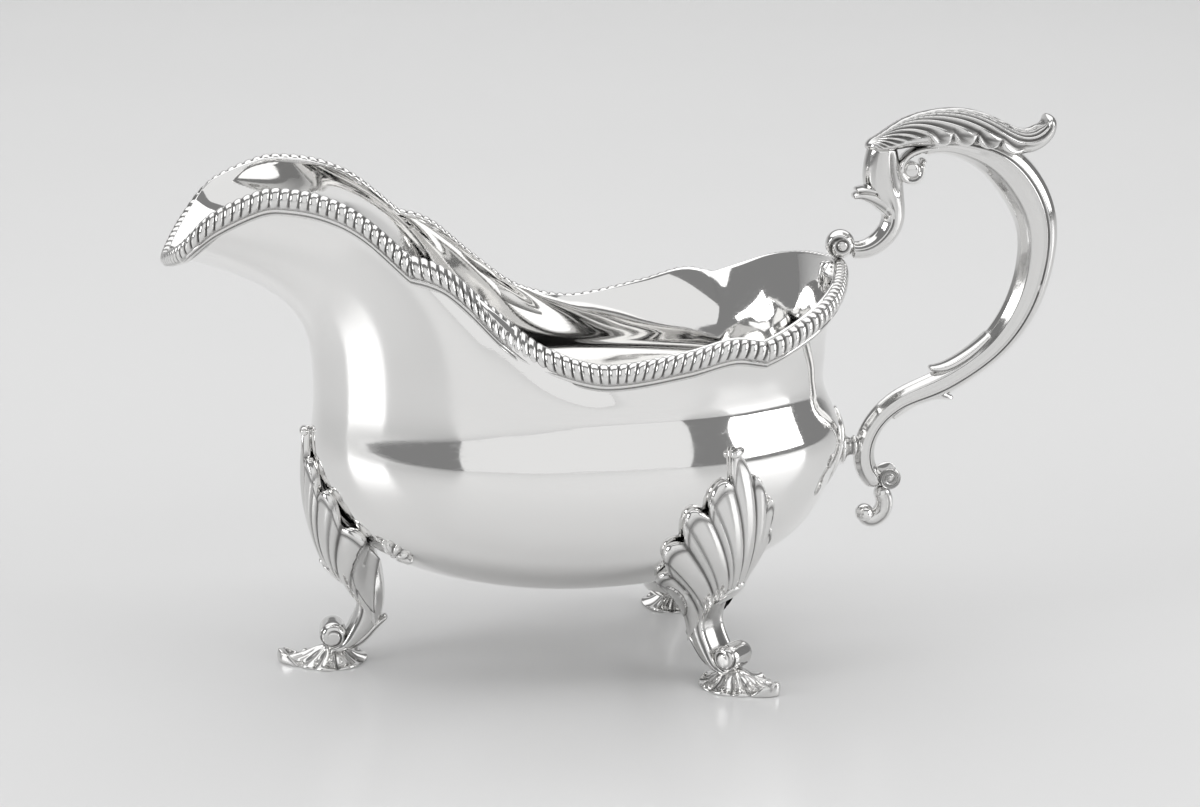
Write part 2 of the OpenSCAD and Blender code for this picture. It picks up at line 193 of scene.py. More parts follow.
@dataclass
class Hull:
    """The boat's wall: a few rings from the bottom up, and the rim line that the top ring flares to."""

    rings: list[list[float]] = field(
        default_factory=lambda: [
            [20, -13, -13, 0], [20.7, -30, 4, 10], [23.7, -42.5, 22, 20], [28, -56, 39.6, 28],
            [36, -68.8, 50.6, 35.2], [47, -75.9, 56.4, 39], [59, -78.6, 59, 40.5], [72, -77.6, 54, 38],
        ]
    )
    upper: tuple[float, ...] = (0.35, 0.7, 0.9, 1.0)
    cusps: tuple[float, float] = (72.0, 133.0)
    spout: list[list[float]] = field(
        default_factory=lambda: [
            [-13.5, -111, -12.9, 113.4], [0, -113.5, 0, 110], [13.5, -111, 12.9, 113.4],
            [20, -108, 21.1, 116.8], [26, -104.3, 24.6, 121], [33, -99, 25, 124.8],
            [44, -89, 24.2, 129], [49, -84, 24.2, 129.5], [57, -74.3, 25.6, 127.8],
            [64, -65, 27.3, 123.3], [72, -53.6, 29.4, 113.3],
        ]
    )
    side: list[list[float]] = field(
        default_factory=lambda: [
            [72, -53.6, 29.4, 113.3], [75.5, -48.8, 30, 112], [79, -43.8, 30.4, 109.2],
            [85, -34.4, 31.3, 100.7], [91, -25.2, 33.9, 92.8], [97, -16.5, 36.9, 88.6],
            [104, -6.2, 39.1, 86.9], [117, 12.2, 40.8, 89.9], [126, 23.8, 41, 92.8],
            [133, 32, 39.7, 91.6],
        ]
    )
    back: list[list[float]] = field(
        default_factory=lambda: [
            [133, 32, 39.7, 91.6], [138, 37.2, 38, 93.5], [148, 46.2, 32.3, 97.5],
            [158, 53, 22.4, 100.4], [168, 57.2, 9.6, 102.2], [180, 58.7, 0, 103.2],
            [192, 57.2, -9.6, 102.2],
        ]
    )
    wall: float = 1.2
    inset: float = 1.6
    under: float = 0.25
    flare: tuple[float, float, float] = (2.55, 0.95, 0.5)
    rim_k: float = 11.0
    low_k: float = 8.6
    drawn: tuple[float, ...] = (0, 1, 2, 3, 4, 5, 6, 7, 7.5, 8, 8.5, 9, 9.4, 9.7, 10, 10.5, 11)

    def _part(self, rows: list[list[float]], u: Array) -> Array:
        """Reads one stretch of the rim.

        Args:
            rows: angle, x, y and z of the stretch.
            u: angles, in degrees.

        Returns:
            Points in mm.
        """
        m = np.array(rows, float)
        i = np.clip(np.searchsorted(m[:, 0], u + 1e-6, side="right") - 1, 0, len(m) - 2)
        up, down = np.minimum(np.arange(len(m)) + 1, len(m) - 1), np.maximum(np.arange(len(m)) - 1, 0)
        tilt = (m[up] - m[down]) / (m[up, :1] - m[down, :1])
        h = (m[i + 1, 0] - m[i, 0])[:, None]
        t = (u - m[i, 0])[:, None] / h
        s, c = t * t, t * t * t
        p = (2 * c - 3 * s + 1) * m[i] + (c - 2 * s + t) * h * tilt[i]
        p += (3 * s - 2 * c) * m[i + 1] + (c - s) * h * tilt[i + 1]
        return p[:, 1:]

    def rim(self, u: Array) -> Array:
        """The rim line.

        Args:
            u: angles round the boat from the lip, in degrees, positive on the left.

        Returns:
            Points in mm.
        """
        u = np.asarray(u, float)
        a = np.minimum(np.abs(u), 360 - np.abs(u))
        left = ((u >= 0) & (u <= 180)) | (u < -180)
        p = np.where(
            (a < self.cusps[0])[:, None],
            self._part(self.spout, a),
            np.where((a < self.cusps[1])[:, None], self._part(self.side, a), self._part(self.back, a)),
        )
        p[:, 1] = np.where(left, p[:, 1], -p[:, 1])
        return p

    def rim_out(self, u: Array) -> Array:
        """Level direction away from the boat along the rim."""
        d = self.rim(u + 0.5) - self.rim(u - 0.5)
        return unit(np.stack([-d[:, 1], d[:, 0], np.zeros(len(d))], 1))

    def ring(self, i: float, u: Array) -> Array:
        """One ring of the wall.

        Args:
            i: ring number from the bottom; above the seventh it may fall between rings.
            u: angles round the boat, in degrees.

        Returns:
            Points in mm.
        """
        last = len(self.rings) - 1
        z, front, rear, half = self.rings[int(min(i, last))]
        a = np.radians(u)
        mid, reach = (front + rear) / 2, (rear - front) / 2
        p = np.stack([mid - reach * np.cos(a), half * np.sin(a), np.full_like(a, z)], 1)
        if i <= last:
            return p
        t = float(np.interp(i, last + np.arange(len(self.upper) + 1), [0, *self.upper]))
        mean, once, twice = self.flare
        h = (t ** (mean + once * np.cos(a) + twice * np.cos(2 * a)))[:, None]
        q = self.rim(u) - self.inset * self.rim_out(u) - self.under * UP
        return np.concatenate([p[:, :2] + (q - p)[:, :2] * h, p[:, 2:] + (q - p)[:, 2:] * t], 1)

    def keys(self) -> Array:
        """Distance of each drawn ring from the bottom, up the side of the boat.

        Returns:
            One distance in mm per drawn ring.
        """
        rings = np.array([self.ring(i, np.array([0.0, 60.0, 120.0, 180.0])) for i in self.drawn])
        steps = np.linalg.norm(np.diff(rings, axis=0), axis=2).mean(1)
        return np.concatenate([[0.0], np.cumsum(steps)])

    def climb(self, t: Array) -> Array:
        """Ring numbers evenly spaced up the side, for t from 0 at the bottom to 1 at the rim."""
        keys = self.keys()
        return np.interp(np.asarray(t) * keys[-1], keys, self.drawn)

    def skin(self, u: Array, k: Array) -> Array:
        """The outer surface of the wall.

        Args:
            u: angles round the boat, in degrees.
            k: ring number, 0 at the bottom and rim_k at the rim.

        Returns:
            Points in mm.
        """
        u, k = np.broadcast_arrays(np.asarray(u, float), np.asarray(k, float))
        angles, where = np.unique(np.round(u, 6), return_inverse=True)
        stack = np.stack([self.ring(1, angles + 180)] + [self.ring(i, angles) for i in self.drawn], 0)
        keys = self.keys()
        flat = Spline(stack.reshape(len(stack), -1), np.concatenate([[-keys[1]], keys]))
        levels, row = np.unique(np.round(k, 6), return_inverse=True)
        keys = np.interp(levels, self.drawn, keys)
        grid = flat.at(keys).reshape(len(levels), len(angles), 3)
        return grid[row.reshape(-1), where.reshape(-1)].reshape(u.shape + (3,))

    def outward(self, u: Array, k: Array) -> Array:
        """Directions away from the metal.

        Args:
            u: angles round the boat, in degrees.
            k: ring numbers.

        Returns:
            One direction per point, of length one.
        """
        u, k = np.broadcast_arrays(np.asarray(u, float), np.asarray(k, float))
        low = np.maximum(k, 0.12)
        up = self.skin(u, np.minimum(low + 0.04, self.rim_k)) - self.skin(u, low - 0.04)
        round_ = self.skin(u + 0.4, low) - self.skin(u - 0.4, low)
        w = smooth(k, 0.0, 0.4)[..., None]
        return unit(unit(np.cross(up, round_)) * w - UP * (1 - w))

    def below_rim(self, u: Array, drop: Array) -> Array:
        """Points inside the wall's outer surface, a way down from the rim.

        Args:
            u: angles round the boat, in degrees.
            drop: way down the surface from the rim, in mm.

        Returns:
            Points in mm.
        """
        u, drop = np.broadcast_arrays(np.asarray(u, float), np.asarray(drop, float))
        angles, where = np.unique(np.round(u, 6), return_inverse=True)
        levels = np.linspace(self.rim_k, self.low_k, 30)
        line = self.skin(angles[:, None], levels[None, :])
        steps = np.linalg.norm(np.diff(line, axis=1), axis=2)
        way = np.concatenate([np.zeros((len(angles), 1)), np.cumsum(steps, axis=1)], axis=1)
        k = np.array([np.interp(d, way[w], levels) for d, w in zip(drop.ravel(), where.ravel())])
        k = k.reshape(u.shape)
        return self.skin(u, k) - SUNK * self.outward(u, k)

    def level(self, z: Array | float) -> Array:
        """Ring numbers at heights z on the belly."""
        return np.interp(z, [row[0] for row in self.rings], np.arange(len(self.rings)))


# ---------------------------------------------------------------- mesh makers


def finish(bm: bmesh.types.BMesh, name: str, facing: Vector | None = None) -> bpy.types.Object:
    """Closes a mesh, points its faces outwards and links it as a smooth object.

    Args:
        bm: the shape, in metres.
        name: the object's name.
        facing: for an open skin, a direction its faces point along.

    Returns:
        The new object, at the origin.
    """
    bmesh.ops.remove_doubles(bm, verts=bm.verts, dist=SAME_PLACE)
    bmesh.ops.dissolve_degenerate(bm, edges=bm.edges, dist=SAME_PLACE / 20)
    bmesh.ops.recalc_face_normals(bm, faces=bm.faces)
    if facing is not None:
        total = sum((f.normal * f.calc_area() for f in bm.faces), Vector())
        if total.dot(facing) < 0:
            bmesh.ops.reverse_faces(bm, faces=bm.faces)
    for face in bm.faces:
        face.smooth = True
    mesh = bpy.data.meshes.new(name)
    bm.to_mesh(mesh)
    bm.free()
    obj = bpy.data.objects.new(name, mesh)
    bpy.context.collection.objects.link(obj)
    return obj


def draped(
    name: str, along: int, across: int, place: Place, facing: Vector | None = None
) -> bpy.types.Object:
    """Drapes a grid over a surface; edges that meet are joined.

    Args:
        name: the object's name.
        along: steps in the first direction.
        across: steps in the second.
        place: gives points in mm for both directions, each from 0 to 1, and how dark each place is
            painted, as tarnish and painted shade.
        facing: for an open skin, a direction its faces point along.

    Returns:
        The new object.
    """
    bm = bmesh.new()
    bm.loops.layers.uv.new("UVMap")
    bmesh.ops.create_grid(bm, x_segments=along, y_segments=across, size=0.5, calc_uvs=True)
    bm.verts.ensure_lookup_table()
    flat = np.array([v.co[:2] for v in bm.verts]) + 0.5
    points, hollow = place(np.round(flat[:, 0], 7), np.round(flat[:, 1], 7))
    for vert, point in zip(bm.verts, points * MM):
        vert.co = point
    # The hollow layer darkens the metal's colour there: tarnish and painted shade.
    if hollow is not None:
        layer = bm.verts.layers.float.new("hollow")
        for vert, value in zip(bm.verts, np.clip(hollow, 0, 1)):
            vert[layer] = value
    return finish(bm, name, facing)


def turned(
    name: str, profile: Sequence[tuple[float, float]], middle: Array, axis: Array, steps: int
) -> bpy.types.Object:
    """Spins a profile round an axis, as on a lathe.

    Args:
        name: the object's name.
        profile: distance from the axis and place along it, in mm, from pole to pole.
        middle: where the axis starts, in mm.
        axis: its direction.
        steps: sides of the turned shape.

    Returns:
        The new object.
    """
    bm = bmesh.new()
    bm.loops.layers.uv.new("UVMap")
    verts = [bm.verts.new((r * MM, 0, h * MM)) for r, h in profile]
    edges = [bm.edges.new(pair) for pair in zip(verts, verts[1:])]
    up = Vector(UP)
    bmesh.ops.spin(
        bm, geom=verts + edges, cent=Vector(), axis=up, angle=math.tau, steps=steps, use_merge=True
    )
    turn = up.rotation_difference(Vector(axis)).to_matrix().to_4x4()
    bmesh.ops.transform(bm, matrix=Matrix.Translation(Vector(middle) * MM) @ turn, verts=bm.verts)
    return finish(bm, name)


def rounded(g: Array, s: Array) -> tuple[Array, Array, Array]:
    """A plain oval section."""
    return np.cos(g), np.sin(g), np.zeros_like(g)


def ridged(g: Array, s: Array) -> tuple[Array, Array, Array]:
    """A squarish section with a fine groove along each side.

    Args:
        g: angle round the bar, in radians, 0 on its outer side.
        s: way along it, 0 to 1.

    Returns:
        Thickness, width and painted darkness (tarnish and painted shade), the first two from -1 to 1.
    """
    c, d = np.cos(g), np.sin(g)
    groove = bump(c, 0.3, 0.14) * smooth(s, 0.02, 0.1) * (1 - smooth(s, 0.93, 1.0))
    edge = 1 - 0.11 * groove
    thick, wide = np.sign(c) * np.abs(c) ** 0.82, np.sign(d) * np.abs(d) ** 0.92
    # The grooves are painted dark: tarnish and painted shade.
    return thick * edge, wide * edge, 0.8 * groove


@dataclass
class Scroll:
    """A swept bar with rounded ends, in a plane that stands on the boat's or a leg's middle line."""

    rows: Sequence[Sequence[float]]
    section: Section = rounded
    along: int = 90
    around: int = 28
    blunt: float = 1.0
    cap: float = 0.07

    def place(self, s: Array, t: Array) -> tuple[Array, Array]:
        """Points of the bar.

        Args:
            s: way along, 0 to 1.
            t: way round, 0 to 1.

        Returns:
            Points as x, y, z in mm, in the scroll's own plane, and how dark each is painted: tarnish
            and painted shade.
        """
        line, share = Spline(self.rows), self.cap
        ends = line.at(np.array([0.0, line.length]))
        cap = np.minimum(ends[:, 2] / 2 * self.blunt, line.length * 0.2)
        a, b = (np.clip(way / share, 0, 1) * math.pi / 2 for way in (s, 1 - s))
        span = line.length - cap[0] - cap[1]
        first, last = s < share, s > 1 - share
        d = cap[0] + span * (s - share) / (1 - 2 * share)
        d = np.where(last, line.length - cap[1] * (1 - np.cos(b)), d)
        d = np.where(first, cap[0] * (1 - np.cos(a)), d)
        swell = np.where(first, np.sin(a), np.where(last, np.sin(b), 1.0))
        p, v = line.at(d), unit(line.slope(d)[:, :2])
        n, w, hollow = self.section(t * math.tau, s)
        n, w = n * p[:, 2] / 2 * swell, w * p[:, 3] / 2 * swell
        return np.stack([p[:, 0] - v[:, 1] * n, w, p[:, 1] + v[:, 0] * n], 1), hollow

    def build(self, name: str, move: Callable[[Array], Array] | None = None) -> bpy.types.Object:
        """Makes the bar.

        Args:
            name: the object's name.
            move: carries points from the scroll's plane to the boat.

        Returns:
            The new object.
        """

        def place(s: Array, t: Array) -> tuple[Array, Array]:
            """Points of the bar where it stands on the boat."""
            p, hollow = self.place(s, t)
            return (move(p) if move else p), hollow

        return draped(name, self.along, self.around, place)


# ---------------------------------------------------------------- finishes


class Wiring:
    """A node tree, with a short way to add nodes and join them."""

    def __init__(self, tree: bpy.types.NodeTree) -> None:
        """Takes the tree to work on."""
        self.tree = tree

    def add(self, kind: str, inputs: dict | None = None, **settings: object) -> bpy.types.Node:
        """Adds a node.

        Args:
            kind: its type.
            inputs: what goes into it, by input: an output of another node, or a value.
            settings: its own settings, made before its inputs are filled.

        Returns:
            The node.
        """
        node = self.tree.nodes.new(kind)
        for name, value in settings.items():
            setattr(node, name, value)
        for key, value in (inputs or {}).items():
            self.fill(node, key, value)
        return node

    def fill(self, node: bpy.types.Node, key: str | int, value: object) -> None:
        """Joins an output to one input of a node, or sets the input's value.

        Args:
            node: the node.
            key: the input's name or number.
            value: an output of another node, or a value.
        """
        if isinstance(value, bpy.types.NodeSocket):
            self.tree.links.new(value, node.inputs[key])
        else:
            node.inputs[key].default_value = value

    def math(self, way: str, *terms: object) -> bpy.types.NodeSocket:
        """Works out one number from outputs and values, and gives the result's socket."""
        return self.add("ShaderNodeMath", dict(enumerate(terms)), operation=way).outputs[0]

    def ranged(
        self, value: bpy.types.NodeSocket, low: float, high: float, least: float = 0.0
    ) -> bpy.types.NodeSocket:
        """Stretches a value so that low gives the least and high gives one."""
        ends = {"Value": value, "From Min": low, "From Max": high, "To Min": least}
        return self.add("ShaderNodeMapRange", ends).outputs["Result"]

    def cloud(self, place: bpy.types.NodeSocket, scale: float, detail: float) -> bpy.types.NodeSocket:
        """Cloudy noise from 0 to 1."""
        noise = {"Vector": place, "Scale": scale, "Detail": detail}
        return self.add("ShaderNodeTexNoise", noise).outputs["Fac"]

    def blend(self, mask: bpy.types.NodeSocket, first: object, second: object) -> bpy.types.NodeSocket:
        """Blends from the first colour to the second by a mask."""
        inputs = {"Factor": mask, "A": first, "B": second}
        return self.add("ShaderNodeMix", inputs, data_type="RGBA").outputs["Result"]


def shared_group(
    name: str, takes: Sequence[str], gives: Sequence[str]
) -> tuple[Wiring, bpy.types.Node, bpy.types.Node]:
    """Starts a node group that several finishes use.

    Args:
        name: the group's name.
        takes: names of its inputs, all plain numbers.
        gives: names of its outputs.

    Returns:
        Its wiring, the node its inputs come from and the node its outputs go to.
    """
    tree = bpy.data.node_groups.new(name, "ShaderNodeTree")
    for direction, names in (("INPUT", takes), ("OUTPUT", gives)):
        for socket in names:
            tree.interface.new_socket(socket, in_out=direction, socket_type="NodeSocketFloat")
    return Wiring(tree), tree.nodes.new("NodeGroupInput"), tree.nodes.new("NodeGroupOutput")


def tarnish_and_shade_group() -> bpy.types.NodeTree:
    """Darkening in the hollows, partly silver sulphide tarnish and partly painted shade, and a bright
    worn line on the edges, as two masks.

    Returns:
        The node group: inputs Hollow and Wear, outputs Tarnish And Shade (tarnish and painted shade)
            and Edge.
    """
    wiring, inp, out = shared_group("silver_hollows_and_edges", ("Hollow", "Wear"), ("Tarnish", "Edge"))
    sharp = wiring.add("ShaderNodeNewGeometry").outputs["Pointiness"]
    place = wiring.add("ShaderNodeTexCoord").outputs["Object"]
    cut = wiring.add("ShaderNodeAttribute", attribute_name="hollow").outputs["Fac"]
    patchy = wiring.ranged(wiring.cloud(place, 90, 4), 0.3, 0.7, least=0.8)
    # Concave places and the dark marks laid on the mesh go dark: tarnish and painted shade.
    most = wiring.math("MAXIMUM", wiring.ranged(sharp, 0.495, 0.43), cut)
    tarnish_and_shade = wiring.math("MULTIPLY", wiring.math("MULTIPLY", most, patchy), inp.outputs["Hollow"])
    edge = wiring.math("MULTIPLY", wiring.ranged(sharp, 0.51, 0.58), inp.outputs["Wear"])
    wiring.fill(out, "Tarnish", tarnish_and_shade)
    wiring.fill(out, "Edge", edge)
    return wiring.tree


def polish_group() -> bpy.types.NodeTree:
    """Fine hand-polishing marks and a soft unevenness of old polished silver.

    Returns:
        The node group: input Depth, outputs Haze (a mask) and Height (for a bump).
    """
    wiring, inp, out = shared_group("silver_polishing_marks", ("Depth",), ("Haze", "Height"))
    place = wiring.add("ShaderNodeTexCoord").outputs["Object"]
    strokes = []
    for angle, scale in ((0.35, 900.0), (-0.8, 1300.0)):
        stretch = {"Vector": place, "Rotation": (0.4, angle, angle * 1.7), "Scale": (0.06, 1.0, 1.0)}
        along = wiring.add("ShaderNodeMapping", stretch).outputs["Vector"]
        strokes.append(wiring.ranged(wiring.cloud(along, scale, 2), 0.56, 0.78))
    haze = wiring.math("MULTIPLY", wiring.math("ADD", *strokes), inp.outputs["Depth"])
    wiring.fill(out, "Haze", haze)
    wiring.fill(out, "Height", wiring.math("MULTIPLY_ADD", haze, -0.08, wiring.cloud(place, 38, 1)))
    return wiring.tree


@dataclass(frozen=True)
class Silver:
    """A silver finish: its colour, how mirror-like it is, and how dark its hollows are painted, as
    tarnish and painted shade.
    """

    name: str
    slot: Slot
    metal: tuple[float, float, float] = (0.93, 0.925, 0.915)
    # Colour of the painted dark in the hollows: tarnish and painted shade.
    shadow: tuple[float, float, float] = (0.03, 0.028, 0.026)
    roughness: float = 0.07
    hollow: float = 0.9
    wear: float = 0.5
    marks: float = 0.6
    ripple: float = 0.02
    worn: tuple[float, float, float] = (0.985, 0.98, 0.97)
    mark_haze: float = 0.10
    tarnish_and_shade_haze: float = 0.35

    def make(self, hollows: bpy.types.NodeTree, polish: bpy.types.NodeTree) -> bpy.types.Material:
        """Builds the material.

        Args:
            hollows: the shared hollow and edge masks.
            polish: the shared polishing marks.

        Returns:
            The material.
        """
        mat = bpy.data.materials.new(self.name)
        mat.use_nodes = True
        mat.node_tree.nodes.clear()
        wiring = Wiring(mat.node_tree)
        masks = {"Hollow": self.hollow, "Wear": self.wear}
        dark = wiring.add("ShaderNodeGroup", masks, node_tree=hollows).outputs
        rub = wiring.add("ShaderNodeGroup", {"Depth": self.marks}, node_tree=polish).outputs
        # The metal turns to the dark colour where the mask is: tarnish and painted shade.
        tint = wiring.blend(dark["Tarnish"], (*self.metal, 1), (*self.shadow, 1))
        dull = wiring.math("MULTIPLY_ADD", rub["Haze"], self.mark_haze, self.roughness)
        uneven = {"Strength": self.ripple, "Distance": MM, "Height": rub["Height"]}
        surface = {
            "Metallic": 1.0,
            "Base Color": wiring.blend(dark["Edge"], tint, (*self.worn, 1)),
            "Roughness": wiring.math("MULTIPLY_ADD", dark["Tarnish"], self.tarnish_and_shade_haze, dull),
            "Normal": wiring.add("ShaderNodeBump", uneven).outputs["Normal"],
        }
        bsdf = wiring.add("ShaderNodeBsdfPrincipled", surface)
        wiring.add("ShaderNodeOutputMaterial", {"Surface": bsdf.outputs["BSDF"]})
        return mat


@dataclass(frozen=True)
class Tabletop:
    """The pale, faintly glossy sweep that the boat stands on."""

    tone: tuple[float, float, float] = (0.76, 0.76, 0.76)
    lift: float = 1.04
    roughness: float = 0.24

    def make(self) -> bpy.types.Material:
        """Builds the material.

        Returns:
            The material.
        """
        mat = bpy.data.materials.new("pale_sweep")
        mat.use_nodes = True
        wiring, bsdf = Wiring(mat.node_tree), mat.node_tree.nodes["Principled BSDF"]
        place = wiring.add("ShaderNodeTexCoord").outputs["Object"]
        pale = (*(c * self.lift for c in self.tone), 1)
        wiring.fill(bsdf, "Base Color", wiring.blend(wiring.cloud(place, 3, 2), (*self.tone, 1), pale))
        wiring.fill(bsdf, "Roughness", self.roughness)
        return mat


@dataclass
class Finishes:
    """The finishes used, each built once."""

    body: Silver = Silver(
        "silver_raised_body", Slot.BODY, (0.86, 0.856, 0.848), roughness=0.05, hollow=0.35, ripple=0.03
    )
    border: Silver = Silver(
        "silver_cast_border", Slot.BORDER, CAST_TONE, roughness=0.1, hollow=1.0, marks=0.3
    )
    handle: Silver = Silver("silver_cast_handle", Slot.HANDLE, CAST_TONE, roughness=0.085, hollow=1.0)
    legs: Silver = Silver(
        "silver_cast_legs", Slot.LEGS, CAST_TONE, roughness=0.09, hollow=1.0, marks=0.45
    )
    made: dict[str, bpy.types.Material] = field(default_factory=dict)

    def build(self) -> None:
        """Makes every silver material."""
        hollows, polish = tarnish_and_shade_group(), polish_group()
        for silver in (self.body, self.border, self.handle, self.legs):
            self.made[silver.name] = silver.make(hollows, polish)

    def dress(self, piece: bpy.types.Object, silver: Silver, *nodes: str) -> bpy.types.Object:
        """Gives a piece its finish and its place in the boat.

        Args:
            piece: the new object.
            silver: its finish.
            nodes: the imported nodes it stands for.

        Returns:
            The same object.
        """
        piece.data.materials.clear()
        piece.data.materials.append(self.made[silver.name])
        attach(piece, "root")
        if nodes:
            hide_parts(*nodes)
        stands_for = ", ".join(nodes) or "detail"
        log.info("%s: %d faces, stands for %s", piece.name, len(piece.data.polygons), stands_for)
        return piece


# ---------------------------------------------------------------- body


@dataclass
class Body:
    """The raised body: one thin wall, polished inside and out, with a rounded edge."""

    hull: Hull
    finishes: Finishes
    knots: tuple[int, ...] = (0, 31, 72, 120, 168, 209, 240)
    breaks: tuple[float, ...] = (-180, -133, -72, 0, 72, 133, 180)
    rows: int = 150
    edge: float = 0.02
    crown: float = 0.6

    def wall(self, s: Array, t: Array) -> tuple[Array, None]:
        """Points of the wall.

        Args:
            s: way round the boat, 0 to 1.
            t: way from the bottom inside, over the edge, to the bottom outside.

        Returns:
            Points in mm, and no painted darkness.
        """
        hull, edge = self.hull, self.edge
        u = np.interp(s * self.knots[-1], self.knots, self.breaks)
        k = hull.climb(np.clip(np.where(t < 0.5, t, 1 - t) / (0.5 - edge), 0, 1))
        p, n = hull.skin(u, k), hull.outward(u, k)
        top = np.full_like(k, hull.rim_k)
        up = unit(hull.skin(u, top) - hull.skin(u, top - 0.1))
        half = hull.wall / 2
        a = math.pi * (1 - np.clip((t - 0.5 + edge) / (2 * edge), 0, 1))
        over = np.cos(a)[:, None] * n + self.crown * np.sin(a)[:, None] * up
        return p - n * half + half * over, None

    def mesh(self) -> bpy.types.Object:
        """Makes the wall."""
        return draped("body_wall", self.knots[-1], self.rows, self.wall)

    def dress(self) -> None:
        """Makes and finishes the body."""
        self.finishes.dress(self.mesh(), self.finishes.body, "body")


# ---------------------------------------------------------------- rim


@dataclass
class Strip:
    """One stretch of the rim border, from one angle to another."""

    name: str
    start: float
    end: float
    leans: tuple[tuple[float, float], ...]


